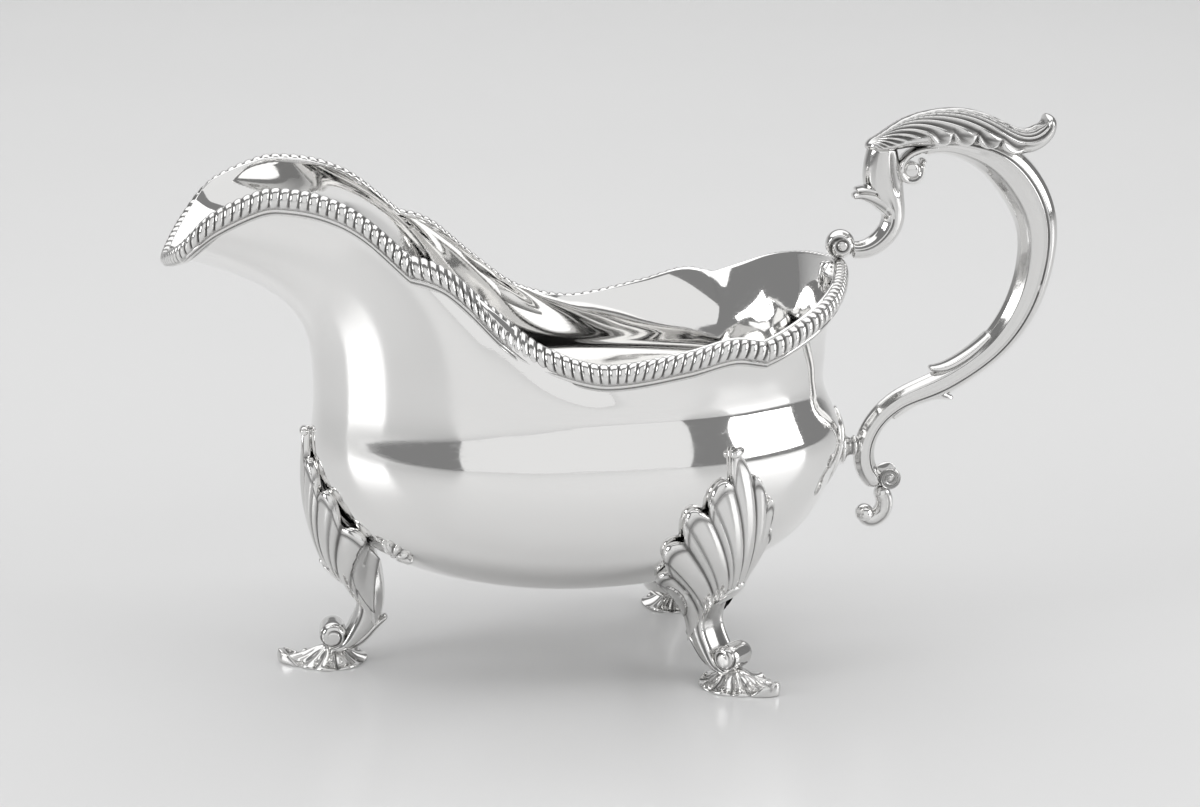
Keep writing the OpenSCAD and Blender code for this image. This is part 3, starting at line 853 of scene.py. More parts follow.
@dataclass
class RimBorder:
    """The gadrooned border: convex lobes side by side, curled over the edge, in six strips."""

    hull: Hull
    finishes: Finishes
    pitch: float = 2.35
    depth: float = 0.8
    per_lobe: int = 12
    around: int = 30
    drop: float = 4.5
    spare: float = 0.5
    inside: float = 0.6
    mitre: float = 1.4
    face: tuple[tuple[float, float], ...] = (
        (-2.75, -0.9), (-2.45, -0.1), (-1.7, 0.42), (-0.9, 0.5), (0.1, 0.1), (0.8, -0.9),
        (1.08, -2.2), (0.85, -3.4), (0.3, -4.2), (-0.5, -4.9),
    )
    strips: tuple[Strip, ...] = (
        Strip("spout", 0.0, 72.0, ((0, 0.0), (0.3, 0.5), (0.75, 1.3), (1, 1.7))),
        Strip("side", 72.0, 133.0, ((0, -1.2), (0.35, -1.5), (0.56, -1.2), (0.66, 1.9), (1, 2.3))),
        Strip("back", 133.0, 180.0, ((0, 0.0), (0.5, -0.4), (1, -0.3))),
    )
    table: Array | None = None

    def across(self, u: Array, strip: Strip) -> Array:
        """Level direction away from the boat, mitred where strips meet.

        Args:
            u: angles, in degrees.
            strip: the strip they are on.

        Returns:
            One direction per angle.
        """
        hull, inside = self.hull, self.inside
        out = hull.rim_out(np.clip(u, strip.start + inside, strip.end - inside))
        for end, step in ((strip.start, inside), (strip.end, -inside)):
            one, other = hull.rim_out(np.array([end + step])), hull.rim_out(np.array([end - step]))
            if end in (0.0, 180.0):
                one = other = np.array([[-1.0 if end == 0 else 1.0, 0, 0]])
            mid = unit(one + other)
            mitre = mid / np.sum(mid * one)
            way = np.linalg.norm(hull.rim(u) - hull.rim(np.array([end])), axis=1)
            w = (1 - smooth(way, 0.0, self.mitre))[:, None]
            out = out * (1 - w) + mitre * w
        return out

    def narrowing(self, u: Array) -> Array:
        """How far the section shrinks near the tip of the lip, one row per angle."""
        return (0.6 + 0.4 * smooth(np.abs(u), 0.0, 24.0))[:, None]

    def bulge(self, u: Array) -> Array:
        """How far the wall stands out past the rim line, straight below it.

        Args:
            u: angles, in degrees.

        Returns:
            One row per angle, in mm.
        """
        marks = np.arange(0.0, 181.0, 1.5)
        if self.table is None:
            hull, reach = self.hull, 0.6
            wall_u, wall_k = np.meshgrid(
                np.arange(-6.0, 187.0, 0.75), np.linspace(hull.low_k, hull.rim_k, 34)
            )
            out = hull.rim_out(marks)
            along = np.stack([-out[:, 1], out[:, 0], out[:, 2]], 1)
            way = hull.skin(wall_u.ravel(), wall_k.ravel())[None] - hull.rim(marks)[:, None]
            aside, past = (np.einsum("ijk,ik->ij", way, d) for d in (along, out))
            near = np.exp(-(aside**2 + (way[:, :, 2] + self.drop) ** 2) / reach**2)
            self.table = (np.sum(near * past, 1) - 1e-6) / (np.sum(near, 1) + 1e-6)
        return np.interp(np.abs(u), marks, self.table)[:, None]

    def leaned(self, sec: Array, u: Array, spare: float) -> Array:
        """Pushes a section out with its depth, so that the wall stays behind it.

        Args:
            sec: points of the section, out and up, in mm.
            u: angle of each point.
            spare: how far the section stands clear of the wall, in mm.

        Returns:
            The section's new points.
        """
        push = np.clip(self.bulge(u) + spare, 0, None) * np.clip(-sec[:, 1:] / self.drop, 0, 1.5)
        return sec + np.concatenate([push, np.zeros_like(push)], 1)

    def stood(self, u: Array, out: Array, sec: Array) -> Array:
        """Stands points of a section, out and up in mm, on the rim line at angles u."""
        return self.hull.rim(u) + out * sec[:, :1] + UP * sec[:, 1:]

    def lobes(self, strip: Strip) -> int:
        """How many whole lobes a strip has."""
        return max(2, round(self.length(strip)[1][-1] / self.pitch))

    def length(self, strip: Strip) -> tuple[Array, Array]:
        """Measures a strip.

        Args:
            strip: the strip.

        Returns:
            Angles along it, in degrees, and the way run at each, in mm.
        """
        u = np.linspace(strip.start, strip.end, 600)
        steps = np.linalg.norm(np.diff(self.hull.rim(u), axis=0), axis=1)
        return u, np.concatenate([[0.0], np.cumsum(steps)])

    def place(self, strip: Strip, s: Array, t: Array) -> tuple[Array, Array]:
        """Points of a strip on the left of the boat, and how dark each is painted: tarnish and painted
        shade.

        Args:
            strip: the strip.
            s: way along, 0 to 1.
            t: way round the section: down the face, then back up inside the wall.

        Returns:
            Points in mm, and painted darkness from 0 to 1: tarnish and painted shade.
        """
        grid_u, way = self.length(strip)
        run = s * way[-1]
        u = np.interp(run, way, grid_u)
        lean = np.interp(s, *np.array(strip.leans).T)
        face = Spline(self.face)
        f = np.clip(t / SHOWN, 0, 1)
        sec, slope = face.at(f * face.length), unit(face.slope(f * face.length))
        normal = np.stack([-slope[:, 1], slope[:, 0]], 1)
        lobes = self.lobes(strip)
        phase = (run + lean * (f - 0.35)) * lobes / way[-1]
        phase = np.where((s < 1e-6) | (s > 1 - 1e-6), np.round(run * lobes / way[-1]), phase)
        x = 2 * (phase - np.floor(phase)) - 1
        cut = 1 - np.sqrt(np.clip(1 - np.abs(x) ** 2.2, 0, 1))
        on = smooth(f, 0.02, 0.16) * (1 - smooth(f, 0.86, 0.94))
        # The grooves between lobes and a seam line under the face are painted dark: tarnish and painted
        # shade.
        seam = 0.8 * bump(f, 0.93, 0.03)
        dark = np.maximum(smooth(np.abs(x), 0.58, 0.92) * on, seam) * (t < SHOWN)
        small, out = self.narrowing(u), self.across(u, strip)
        sec = self.leaned((sec - normal * (cut * self.depth * on)[:, None]) * small, u, self.spare)
        b = np.clip((t - SHOWN) / (1 - SHOWN), 0, 1)
        back = self.hull.below_rim(u, 5.6 * (1 - b) * small[:, 0] + 0.7)
        w = (smooth(b, 0.0, 0.12) * (1 - smooth(b, 0.88, 1.0)))[:, None]
        first, last = face.at(np.array([face.length, 0.0]))
        ends = self.leaned(np.where((b < 0.5)[:, None], first, last) * small, u, self.spare)
        close = self.stood(u, out, ends) * (1 - w) + back * w
        return np.where((t > SHOWN)[:, None], close, self.stood(u, out, sec)), dark

    def capped(self, strip: Strip, s: Array, t: Array) -> tuple[Array, Array]:
        """The strip with its two ends closed to a point inside the metal.

        Args:
            strip: the strip.
            s: way along, 0 to 1.
            t: way round the section, 0 to 1.

        Returns:
            Points in mm, and painted darkness from 0 to 1: tarnish and painted shade.
        """
        edge = 0.5 / self.lobes(strip) / self.per_lobe
        p, dark = self.place(strip, np.clip((s - edge) / (1 - 2 * edge), 0, 1), t)
        ends, _ = self.place(strip, np.round(s), np.full_like(s, 0.85))
        return np.where(((s < edge) | (s > 1 - edge))[:, None], ends, p), dark

    def mesh(self, strip: Strip, side: Side) -> bpy.types.Object:
        """Makes a strip.

        Args:
            strip: which stretch.
            side: which side of the boat.

        Returns:
            The strip.
        """

        def place(s: Array, t: Array) -> tuple[Array, Array]:
            """The strip on its own side of the boat."""
            p, dark = self.capped(strip, s, t)
            return p * np.array([1, side.value, 1]), dark

        name = f"border_{strip.name}_{side.name.lower()}"
        return draped(name, self.lobes(strip) * self.per_lobe + 2, self.around, place)

    def dress(self) -> None:
        """Makes and finishes the six strips."""
        for strip in self.strips:
            for side in Side:
                node = f"rim_border_{strip.name}_{side.name.lower()}"
                self.finishes.dress(self.mesh(strip, side), self.finishes.border, node)


@dataclass
class RimWire:
    """The plain double bead that runs under the border all round one side."""

    hull: Hull
    finishes: Finishes
    border: RimBorder
    face: tuple[tuple[float, float], ...] = (
        (-0.9, -4.3), (-0.35, -4.45), (0.05, -4.85), (-0.15, -5.3), (-0.6, -5.5), (-0.62, -5.75),
        (-0.75, -6.15), (-1.2, -6.35), (-1.7, -6.2),
    )
    along: int = 330
    around: int = 26
    spare: float = 0.8

    def place(self, s: Array, t: Array) -> Array:
        """Points of the bead on the left of the boat.

        Args:
            s: way along, 0 to 1.
            t: way round the section: down the face, then back up inside the wall.

        Returns:
            Points in mm.
        """
        border = self.border
        u = np.interp(s, [0, 0.42, 0.82, 1], [0, *self.hull.cusps, 180])
        face = Spline(self.face)
        f = np.clip(t / SHOWN, 0, 1)
        small = (0.25 + 0.75 * smooth(np.abs(u), 0.0, 30.0))[:, None]
        sec = border.leaned(face.at(f * face.length) * small, u, self.spare)
        out = np.zeros((len(u), 3))
        for strip in border.strips:
            on = (u >= strip.start) & (u <= strip.end)
            out[on] = border.across(u[on], strip)
        b = np.clip((t - SHOWN) / (1 - SHOWN), 0, 1)
        back = self.hull.below_rim(u, (3.6 + 3.6 * (1 - b)) * small[:, 0])
        w = (smooth(b, 0.0, 0.25) * (1 - smooth(b, 0.75, 1.0)))[:, None]
        first, last = face.at(np.array([face.length, 0.0]))
        ends = border.leaned(np.where((b < 0.5)[:, None], first, last) * small, u, self.spare)
        close = border.stood(u, out, ends) * (1 - w) + back * w
        return np.where((t > SHOWN)[:, None], close, border.stood(u, out, sec))

    def mesh(self, side: Side) -> bpy.types.Object:
        """Makes one side's bead.

        Args:
            side: which side of the boat.

        Returns:
            The bead.
        """
        edge = 1 / self.along

        def capped(s: Array, t: Array) -> tuple[Array, Array]:
            """The bead with closed ends, on its own side of the boat."""
            inner = self.place(np.clip((s - edge) / (1 - 2 * edge), 0, 1), t)
            ends = self.place(np.round(s), np.full_like(s, 0.85))
            p = np.where(((s < edge / 2) | (s > 1 - edge / 2))[:, None], ends, inner)
            # Lines along the bead's grooves are painted dark: tarnish and painted shade.
            dark = np.maximum(bump(t, 0.02, 0.05), bump(t, 0.41, 0.035)) + bump(t, 0.68, 0.04)
            return p * np.array([1, side.value, 1]), dark

        return draped(f"rim_bead_{side.name.lower()}", self.along, self.around, capped)

    def dress(self) -> None:
        """Makes and finishes both beads."""
        for side in Side:
            self.finishes.dress(self.mesh(side), self.finishes.border, f"rim_wire_{side.name.lower()}")


# ---------------------------------------------------------------- handle


def folded(g: Array) -> Array:
    """Angle from the outer side of a section, the same on both sides, in radians."""
    return np.abs((g + math.pi) % math.tau - math.pi)


def crisp(g: Array, s: Array) -> tuple[Array, Array, Array]:
    """Section of the main scroll: a round back, a raised line down each side, a bevelled inner face.

    Args:
        g: angle round the bar, in radians, 0 on its outer side.
        s: way along it, 0 to 1.

    Returns:
        Thickness, width and painted darkness (tarnish and painted shade), the first two from -1 to 1.
    """
    a = folded(g)
    keys = np.radians([0, 25, 45, 58, 64, 69, 74, 80, 100, 122, 128, 134, 155, 180])
    thick = [1, 0.94, 0.74, 0.56, 0.48, 0.4, 0.33, 0.2, -0.12, -0.46, -0.54, -0.62, -0.9, -1]
    wide = [0, 0.42, 0.74, 0.87, 1.0, 0.84, 1.0, 0.95, 0.97, 0.95, 0.84, 0.76, 0.4, 0]
    plain = smooth(s, 0.03, 0.12) * (1 - smooth(s, 0.9, 0.98))
    c = np.interp(a, keys, thick) * plain + np.cos(g) * (1 - plain)
    w = np.interp(a, keys, wide) * plain + np.abs(np.sin(g)) * (1 - plain)
    # The side grooves are painted dark: tarnish and painted shade.
    dark = plain * (bump(a, math.radians(69), 0.085) + 0.4 * bump(a, math.radians(128), 0.07))
    return c, np.where(np.sin(g) < 0, -w, w), dark


def fluted(g: Array, s: Array) -> tuple[Array, Array, Array]:
    """Section of the neck: full above, then a round outer side, a crisp line and a hollow inner side.

    Args:
        g: angle round the bar, in radians, 0 on its outer side.
        s: way along it, 0 to 1.

    Returns:
        Thickness, width and painted darkness (tarnish and painted shade), the first two from -1 to 1.
    """
    a = folded(g)
    keys = np.radians([0, 30, 60, 82, 90, 96, 104, 125, 150, 180])
    thick = [1, 0.86, 0.5, 0.16, 0.04, -0.04, -0.16, -0.46, -0.72, -0.8]
    wide = [0, 0.52, 0.88, 0.98, 1.0, 0.84, 0.96, 0.74, 0.44, 0]
    plain = smooth(s, 0.36, 0.5) * (1 - smooth(s, 0.88, 0.97))
    above = smooth(s, 0.05, 0.12) * (1 - smooth(s, 0.34, 0.42))
    rib = above * bump(a, math.radians(62), 0.12)
    c = np.interp(a, keys, thick) * plain + np.cos(g) * (1 - plain) * (1 - 0.12 * rib)
    w = np.interp(a, keys, wide) * plain + np.abs(np.sin(g)) * (1 - plain) * (1 - 0.2 * rib)
    # The groove and the ribs are painted dark: tarnish and painted shade.
    dark = plain * bump(a, math.radians(96), 0.08) + 0.7 * rib
    return c, np.where(np.sin(g) < 0, -w, w), dark


def ribbed_leaf(g: Array, s: Array) -> tuple[Array, Array, Array]:
    """Section of the thumb rest: ribs that fan out along it, scalloped lower edges, a hollow tip.

    Args:
        g: angle round the bar, in radians, 0 on its outer side.
        s: way along it, 0 to 1.

    Returns:
        Thickness, width and painted darkness (tarnish and painted shade), the first two from -1 to 1.
    """
    a = folded(g)
    fan = np.log(np.maximum(s, 0.02) / (np.maximum(a, 0.05) / 1.9) ** 0.67) / math.log(1.27)
    x = fan - np.round(fan)
    fade = smooth(s, 0.04, 0.12) * (1 - smooth(s, 0.9, 0.97))
    fade = fade * smooth(a, 0.12, 0.35) * (1 - smooth(a, 1.75, 2.0))
    line = bump(x, 0.0, 0.28) * fade
    frill = smooth(s, 0.3, 0.34) * (1 - smooth(s, 0.76, 0.79))
    q = (s - 0.31) / 0.118
    lobe = np.abs(np.sin(math.pi * q)) ** 0.5
    hang = frill * bump(a, 1.95, 0.3)
    c, w = np.cos(g) * (1 - 0.14 * line), np.sin(g) * (1 - 0.14 * line)
    w = w * (1 + hang * (0.24 * lobe - 0.12))
    c = c - hang * (0.5 * lobe - 0.12)
    hollow = smooth(s, 0.87, 0.95) * bump(a, 0.0, 0.8)
    c = c - 0.95 * hollow
    seam = frill * (bump(a, 1.66, 0.07) + 0.9 * bump(a, 1.95, 0.3) * (1 - smooth(lobe, 0.3, 0.6)))
    # The underside is painted dark, a painted shade; the ribs, seams and hollow tip get tarnish and
    # painted shade.
    under = smooth(a, 2.2, 2.5)
    return c, w, np.maximum.reduce([0.95 * line, 0.9 * seam, 0.35 * hollow, 0.6 * under])


@dataclass
class Handle:
    """The flying scroll handle: neck, leaf thumb rest, main scroll, curls, and the peg to the body."""

    hull: Hull
    finishes: Finishes
    main: tuple[tuple[float, ...], ...] = (
        (78.5, 131, 3, 5), (83.8, 132.2, 4.4, 6), (90.5, 131.3, 6.4, 8), (98, 128.2, 9.6, 8),
        (105.4, 120.8, 11.4, 8), (109.4, 112, 10.8, 8), (109.6, 100.8, 9.8, 8),
        (106.2, 89, 8.9, 8), (99.6, 79.3, 7.6, 8), (91.4, 72.6, 7, 7), (83.2, 68.3, 7, 6.8),
        (75.4, 65.2, 6, 6.6), (69.4, 60.4, 5.4, 6.2), (66, 53.6, 5.4, 6), (66.5, 46.6, 5.6, 6),
        (69.9, 42, 5.2, 5.6),
    )
    neck: tuple[tuple[float, ...], ...] = (
        (68.4, 132.2, 7.6, 8), (68.3, 127, 9.6, 8), (69.2, 121.8, 10, 8), (71, 117, 7.4, 7.4),
        (71.2, 112.8, 6.6, 7), (68.8, 108.6, 6, 6.6), (64.8, 106, 5.4, 6), (61, 105.6, 4.6, 5.6),
    )
    leaf: tuple[tuple[float, ...], ...] = (
        (63.8, 132.4, 2.4, 5), (68, 133.2, 4.6, 9), (74, 135.4, 7.4, 11.5), (82, 136.7, 9.6, 12),
        (90, 136.5, 9.8, 12), (98, 134.4, 8, 11.5), (104, 132.8, 6.6, 9.5), (109, 134, 6, 8.5),
        (111.2, 137.4, 4.6, 7.5), (110.6, 139.6, 2.8, 6.5),
    )
    curl: tuple[tuple[float, ...], ...] = (
        (83, 131.8, 1.6, 5.6), (79.4, 131.4, 1.9, 5.8), (75.9, 130.4, 2, 6), (73.6, 128.2, 2, 6),
        (73.3, 125.4, 2, 6), (75.5, 123.3, 2, 6), (78, 124.2, 1.9, 6), (78.6, 126.4, 1.6, 6),
        (78.7, 127.8, 1.4, 6),
    )
    tail: tuple[tuple[float, ...], ...] = (
        (69.6, 41.4, 4.4, 5.6), (71.4, 38.6, 4.6, 5.4), (71.4, 35.4, 4.6, 5.2), (69.6, 33, 4.4, 5),
        (67.2, 32.6, 3.8, 5), (65.8, 34.2, 3, 5), (66.8, 35.4, 2, 4.6),
    )
    spur: tuple[tuple[float, ...], ...] = (
        (72.4, 60.4, 2.2, 5.4), (76, 63.4, 3, 5.8), (80, 65.5, 3.2, 5.6), (83.8, 66.2, 2.7, 5),
        (86.8, 65.8, 2, 4.4), (89.2, 65, 1.2, 3.4),
    )
    neck_spur: tuple[tuple[float, ...], ...] = (
        (72, 112.6, 3.6, 6.6), (70.4, 116.2, 4.6, 6.8), (67.6, 118.4, 4.4, 6.6), (64.6, 119.6, 3.2, 6),
        (62.2, 119.8, 2, 5.2), (60.8, 119.3, 1.2, 4.4),
    )
    plate_height: float = 53.0

    def fan(self) -> bpy.types.Object:
        """The small flared lip above the neck's spur.

        Returns:
            The lip.
        """
        rows = (
            (69, 119.8, 2.6, 7), (66.2, 121, 2.2, 6.8), (63.6, 121.4, 1.5, 6.2), (61.4, 121.2, 1, 5),
        )
        return Scroll(rows, ridged, 40, 24).build("handle_neck_lip")

    def step(self) -> bpy.types.Object:
        """The small pointed tip that lies along the upper side of the main scroll.

        Returns:
            The tip.
        """
        rows = (
            (98.4, 82.4, 1.6, 5.8), (94, 78, 2.4, 6.2), (89.6, 74.9, 2.6, 6), (85.6, 73.4, 2.1, 5.4),
            (82.4, 73.4, 1.1, 3.8),
        )
        return Scroll(rows, ridged, 40, 24).build("handle_step_tip")

    def rim_ball(self) -> bpy.types.Object:
        """The ball on the rim, with a groove that winds round it to an eye on each side.

        Returns:
            The ball.
        """
        low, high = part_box("handle_rim_ball")
        mid, r = (np.array(low) + np.array(high)) / 2 / MM, (high.y - low.y) / 2 / MM

        def place(s: Array, t: Array) -> tuple[Array, Array]:
            """Points of the ball, s round it and t from side to side."""
            a, b = s * math.tau, t * math.pi
            across = np.abs(np.cos(b))
            line = bump(np.cos(a + across * 5.2), 1.0, 0.22) * smooth(1 - across, 0.04, 0.2)
            ring = bump(across, 0.9, 0.045)
            rr = r * (1 - 0.12 * line) - 0.5 * ring
            p = np.stack([rr * np.sin(b) * np.cos(a), rr * np.cos(b), rr * np.sin(b) * np.sin(a)], 1)
            # The groove and the ring round each eye are also painted dark: tarnish and painted shade.
            return mid + p, np.maximum(line, ring)

        return draped("handle_ball", 72, 60, place)

    def eye(self, name: str, node: str, turns: float, reach: float) -> bpy.types.Object:
        """A rolled scroll end: a drum with a spiral on both faces and a boss in the middle.

        Args:
            name: the object's name.
            node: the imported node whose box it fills.
            turns: turns of the spiral.
            reach: how far the boss stands out, in mm.

        Returns:
            The drum.
        """
        low, high = (np.array(c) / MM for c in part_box(node))
        mid, r, half = (low + high) / 2, (high[0] - low[0]) / 2, (high[1] - low[1]) / 2
        flat = 0.42

        def place(s: Array, t: Array) -> tuple[Array, Array]:
            """Points of the drum, s round it and t from one face to the other."""
            a = s * math.tau
            f = np.clip(np.minimum(t, 1 - t) / flat, 0, 1)
            spiral = (f * turns - s) % 1.0
            coil = smooth(f, 0.3, 0.45) * (1 - smooth(f, 0.97, 1))
            lift = 0.45 * (bump(spiral, 0.5, 0.2) - 0.5) * coil
            boss = reach * (1 - smooth(f, 0.12, 0.3))
            y = np.where(t < 0.5, -1, 1) * (half + lift + boss - 0.25 * smooth(f, 0.9, 1))
            side = np.clip((t - flat) / (1 - 2 * flat), 0, 1) * math.pi
            on_side = (t > flat) & (t < 1 - flat)
            y = np.where(on_side, (half - 0.25) * -np.cos(side), y)
            rr = r * np.where(on_side, 1 - 0.12 * np.sin(side), f)
            # The spiral grooves and a ring round the boss are painted dark: tarnish and painted shade.
            dark = np.maximum(0.8 * coil * (1 - bump(spiral, 0.5, 0.3)), bump(f, 0.32, 0.05))
            return mid + np.stack([rr * np.cos(a), y, rr * np.sin(a)], 1), dark

        return draped(name, 64, 70, place)

    def disc(self) -> bpy.types.Object:
        """The flat disc that fills the upper curl.

        Returns:
            The disc.
        """
        half = [(2.2, 1.4), (2.0, 2.0), (1.2, 2.3), (0, 2.4)]
        profile = [(r, -y) for r, y in reversed(half)] + half
        return turned("handle_curl_disc", profile, np.array([75.9, 0, 126.1]), ACROSS, 40)

    def bead(self, name: str, x: float, z: float, r: float, half: float) -> bpy.types.Object:
        """A small round bead at the end of a curl, lying across the boat."""
        arc = [(r * math.sin(a), half * -math.cos(a)) for a in np.linspace(0, math.pi, 15)]
        return turned(name, arc, np.array([x, 0, z]), ACROSS, 28)

    def strut(self) -> bpy.types.Object:
        """The collared peg between the body plate and the handle.

        Returns:
            The peg.
        """
        low, high = (np.array(c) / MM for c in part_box("handle_strut"))
        profile = [
            (0, 0), (4.2, 0), (4.6, 0.25), (4.6, 0.7), (3.9, 1.05), (3.7, 1.3), (3.0, 1.7), (2.35, 2.5),
            (2.15, 3.2), (2.5, 3.4), (2.85, 3.7), (2.85, 4.0), (2.5, 4.25), (2.2, 4.5), (2.4, 4.8),
            (2.9, 5.2), (2.9, 5.5), (0, 5.8),
        ]
        mid = np.array([low[0], (low[1] + high[1]) / 2, (low[2] + high[2]) / 2])
        return turned("handle_strut_peg", profile, mid, np.array([1.0, 0, 0]), 56)

    def plate(self) -> bpy.types.Object:
        """The oval plate soldered to the back of the body.

        Returns:
            The plate.
        """
        hull = self.hull
        mid = hull.level(self.plate_height)

        def place(s: Array, t: Array) -> tuple[Array, Array]:
            """Points of the plate, s round it and t from the front's middle to the back's."""
            a, f = spread(s, t)
            u, k = 180 + 11 * f * np.cos(a), mid + 0.85 * f * np.sin(a)
            high = 0.95 - 0.35 * smooth(f, 0.82, 1.0) - 0.2 * bump(f, 0.78, 0.05)
            off = np.where(t < 0.5, high, -0.2)
            # The groove round the plate is painted dark: tarnish and painted shade.
            dark = 0.7 * bump(f, 0.78, 0.05) * (t < 0.5)
            return hull.skin(u, k) + off[:, None] * hull.outward(u, k), dark

        return draped("handle_plate", 56, 44, place)

    def root_leaf(self) -> bpy.types.Object:
        """The ribbed leaf that hangs inside the rim under the ball.

        Returns:
            The leaf.
        """
        hull = self.hull

        def place(s: Array, t: Array) -> tuple[Array, Array]:
            """Points of the leaf, s round it and t from the front's middle to the back's."""
            a, f = spread(s, t)
            lobe = 1 + 0.1 * np.cos(5 * a)
            across, down = f * lobe * np.cos(a), f * lobe * np.sin(a)
            u = 180 + 8 * across * (1 - 0.35 * (down < 0) * -down)
            k = 10.02 + 0.9 * down
            rib = np.abs(np.cos(across * 4.4)) ** 0.6
            high = hull.wall + (1.5 * rib + 0.5) * np.sqrt(np.clip(1 - f**3, 0, 1)) + 0.25
            off = np.where(t < 0.5, -high, -hull.wall + 0.2)
            # The hollows between ribs are painted dark: tarnish and painted shade.
            dark = (1 - smooth(rib, 0.2, 0.7)) * (t < 0.5)
            return hull.skin(u, k) + off[:, None] * hull.outward(u, k), dark

        return draped("handle_inner_leaf", 80, 50, place)

    def dress(self) -> None:
        """Makes and finishes every piece of the handle."""
        silver, put = self.finishes.handle, self.finishes.dress
        for name, node, scroll in (
            ("handle_main", "handle_main_scroll", Scroll(self.main, crisp, 220, 108)),
            ("handle_neck", "handle_neck_scroll", Scroll(self.neck, fluted, 110, 72, 0.2)),
            ("handle_thumb_leaf", "handle_leaf", Scroll(self.leaf, ribbed_leaf, 300, 120, 1.6)),
            ("handle_upper_curl", "handle_inner_curl", Scroll(self.curl, ridged, 90, 26)),
            ("handle_tail", "handle_tail_curl", Scroll(self.tail, ridged, 80, 26)),
            ("handle_side_spur", "handle_spur", Scroll(self.spur, ridged, 50, 24)),
            ("handle_neck_tip", "handle_neck_spur", Scroll(self.neck_spur, ridged, 60, 26)),
        ):
            put(scroll.build(name), silver, node)
        put(self.fan(), silver)
        put(self.step(), silver)
        put(self.rim_ball(), silver, "handle_rim_ball")
        put(self.eye("handle_volute", "handle_lower_volute", 2.2, 0.5), silver, "handle_lower_volute")
        put(self.disc(), silver)
        put(self.bead("handle_curl_bead", 78.9, 128.1, 0.95, 2.9), silver)
        put(self.bead("handle_tail_bead", 66.4, 34.2, 2.5, 3.0), silver)
        put(self.strut(), silver, "handle_strut")
        put(self.plate(), silver, "handle_body_plate")
        put(self.root_leaf(), silver, "handle_root_leaf")


# ---------------------------------------------------------------- legs


@dataclass
class Foot:
    """Where a leg stands, how it is turned, and how far its outermost flutes are drawn in and up."""

    name: str
    turn: float
    shell_at: float
    per_degree: float
    top: tuple[tuple[float, ...], ...]
    pull: float = 0.0
    lift: float = 0.0
    middle: Array = field(default_factory=lambda: np.zeros(3))

    def carry(self, p: Array) -> Array:
        """Takes points from the leg's frame to the boat's.

        Args:
            p: points as out, across and up, in mm.

        Returns:
            The points as x, y and z, in mm.
        """
        c, s = math.cos(math.radians(self.turn)), math.sin(math.radians(self.turn))
        x, y = p[..., 0] * c - p[..., 1] * s, p[..., 0] * s + p[..., 1] * c
        return np.stack([x + self.middle[0], y + self.middle[1], p[..., 2]], -1)

    def aim(self, out: float, across: float, up: float) -> Array:
        """Takes a direction from the leg's frame to the boat's."""
        return self.carry(np.array([out, across, up])) - self.carry(np.zeros(3))


def stem_section(g: Array, s: Array) -> tuple[Array, Array, Array]:
    """Section of a leg: round behind, with a raised rib down each side and a hollow front.

    Args:
        g: angle round the bar, in radians, 0 on its outer side.
        s: way along it, 0 to 1.

    Returns:
        Thickness, width and painted darkness (tarnish and painted shade), the first two from -1 to 1.
    """
    a = folded(g)
    keys = np.radians([0, 20, 38, 50, 58, 64, 70, 80, 110, 150, 180])
    thick = [0.82, 0.74, 0.68, 0.74, 0.7, 0.5, 0.46, 0.26, -0.34, -0.86, -1]
    wide = [0, 0.36, 0.62, 0.84, 0.96, 0.9, 1.0, 1.02, 0.94, 0.5, 0]
    c, w = 1.18 * np.interp(a, keys, thick), 1.14 * np.interp(a, keys, wide)
    # The front face is painted darker, a painted shade, and the grooves by the side ribs dark with
    # tarnish and painted shade.
    dark = 0.4 * (1 - smooth(a, 0.5, 0.85)) + 0.9 * bump(a, math.radians(67), 0.07)
    return c, np.where(np.sin(g) < 0, -w, w), dark


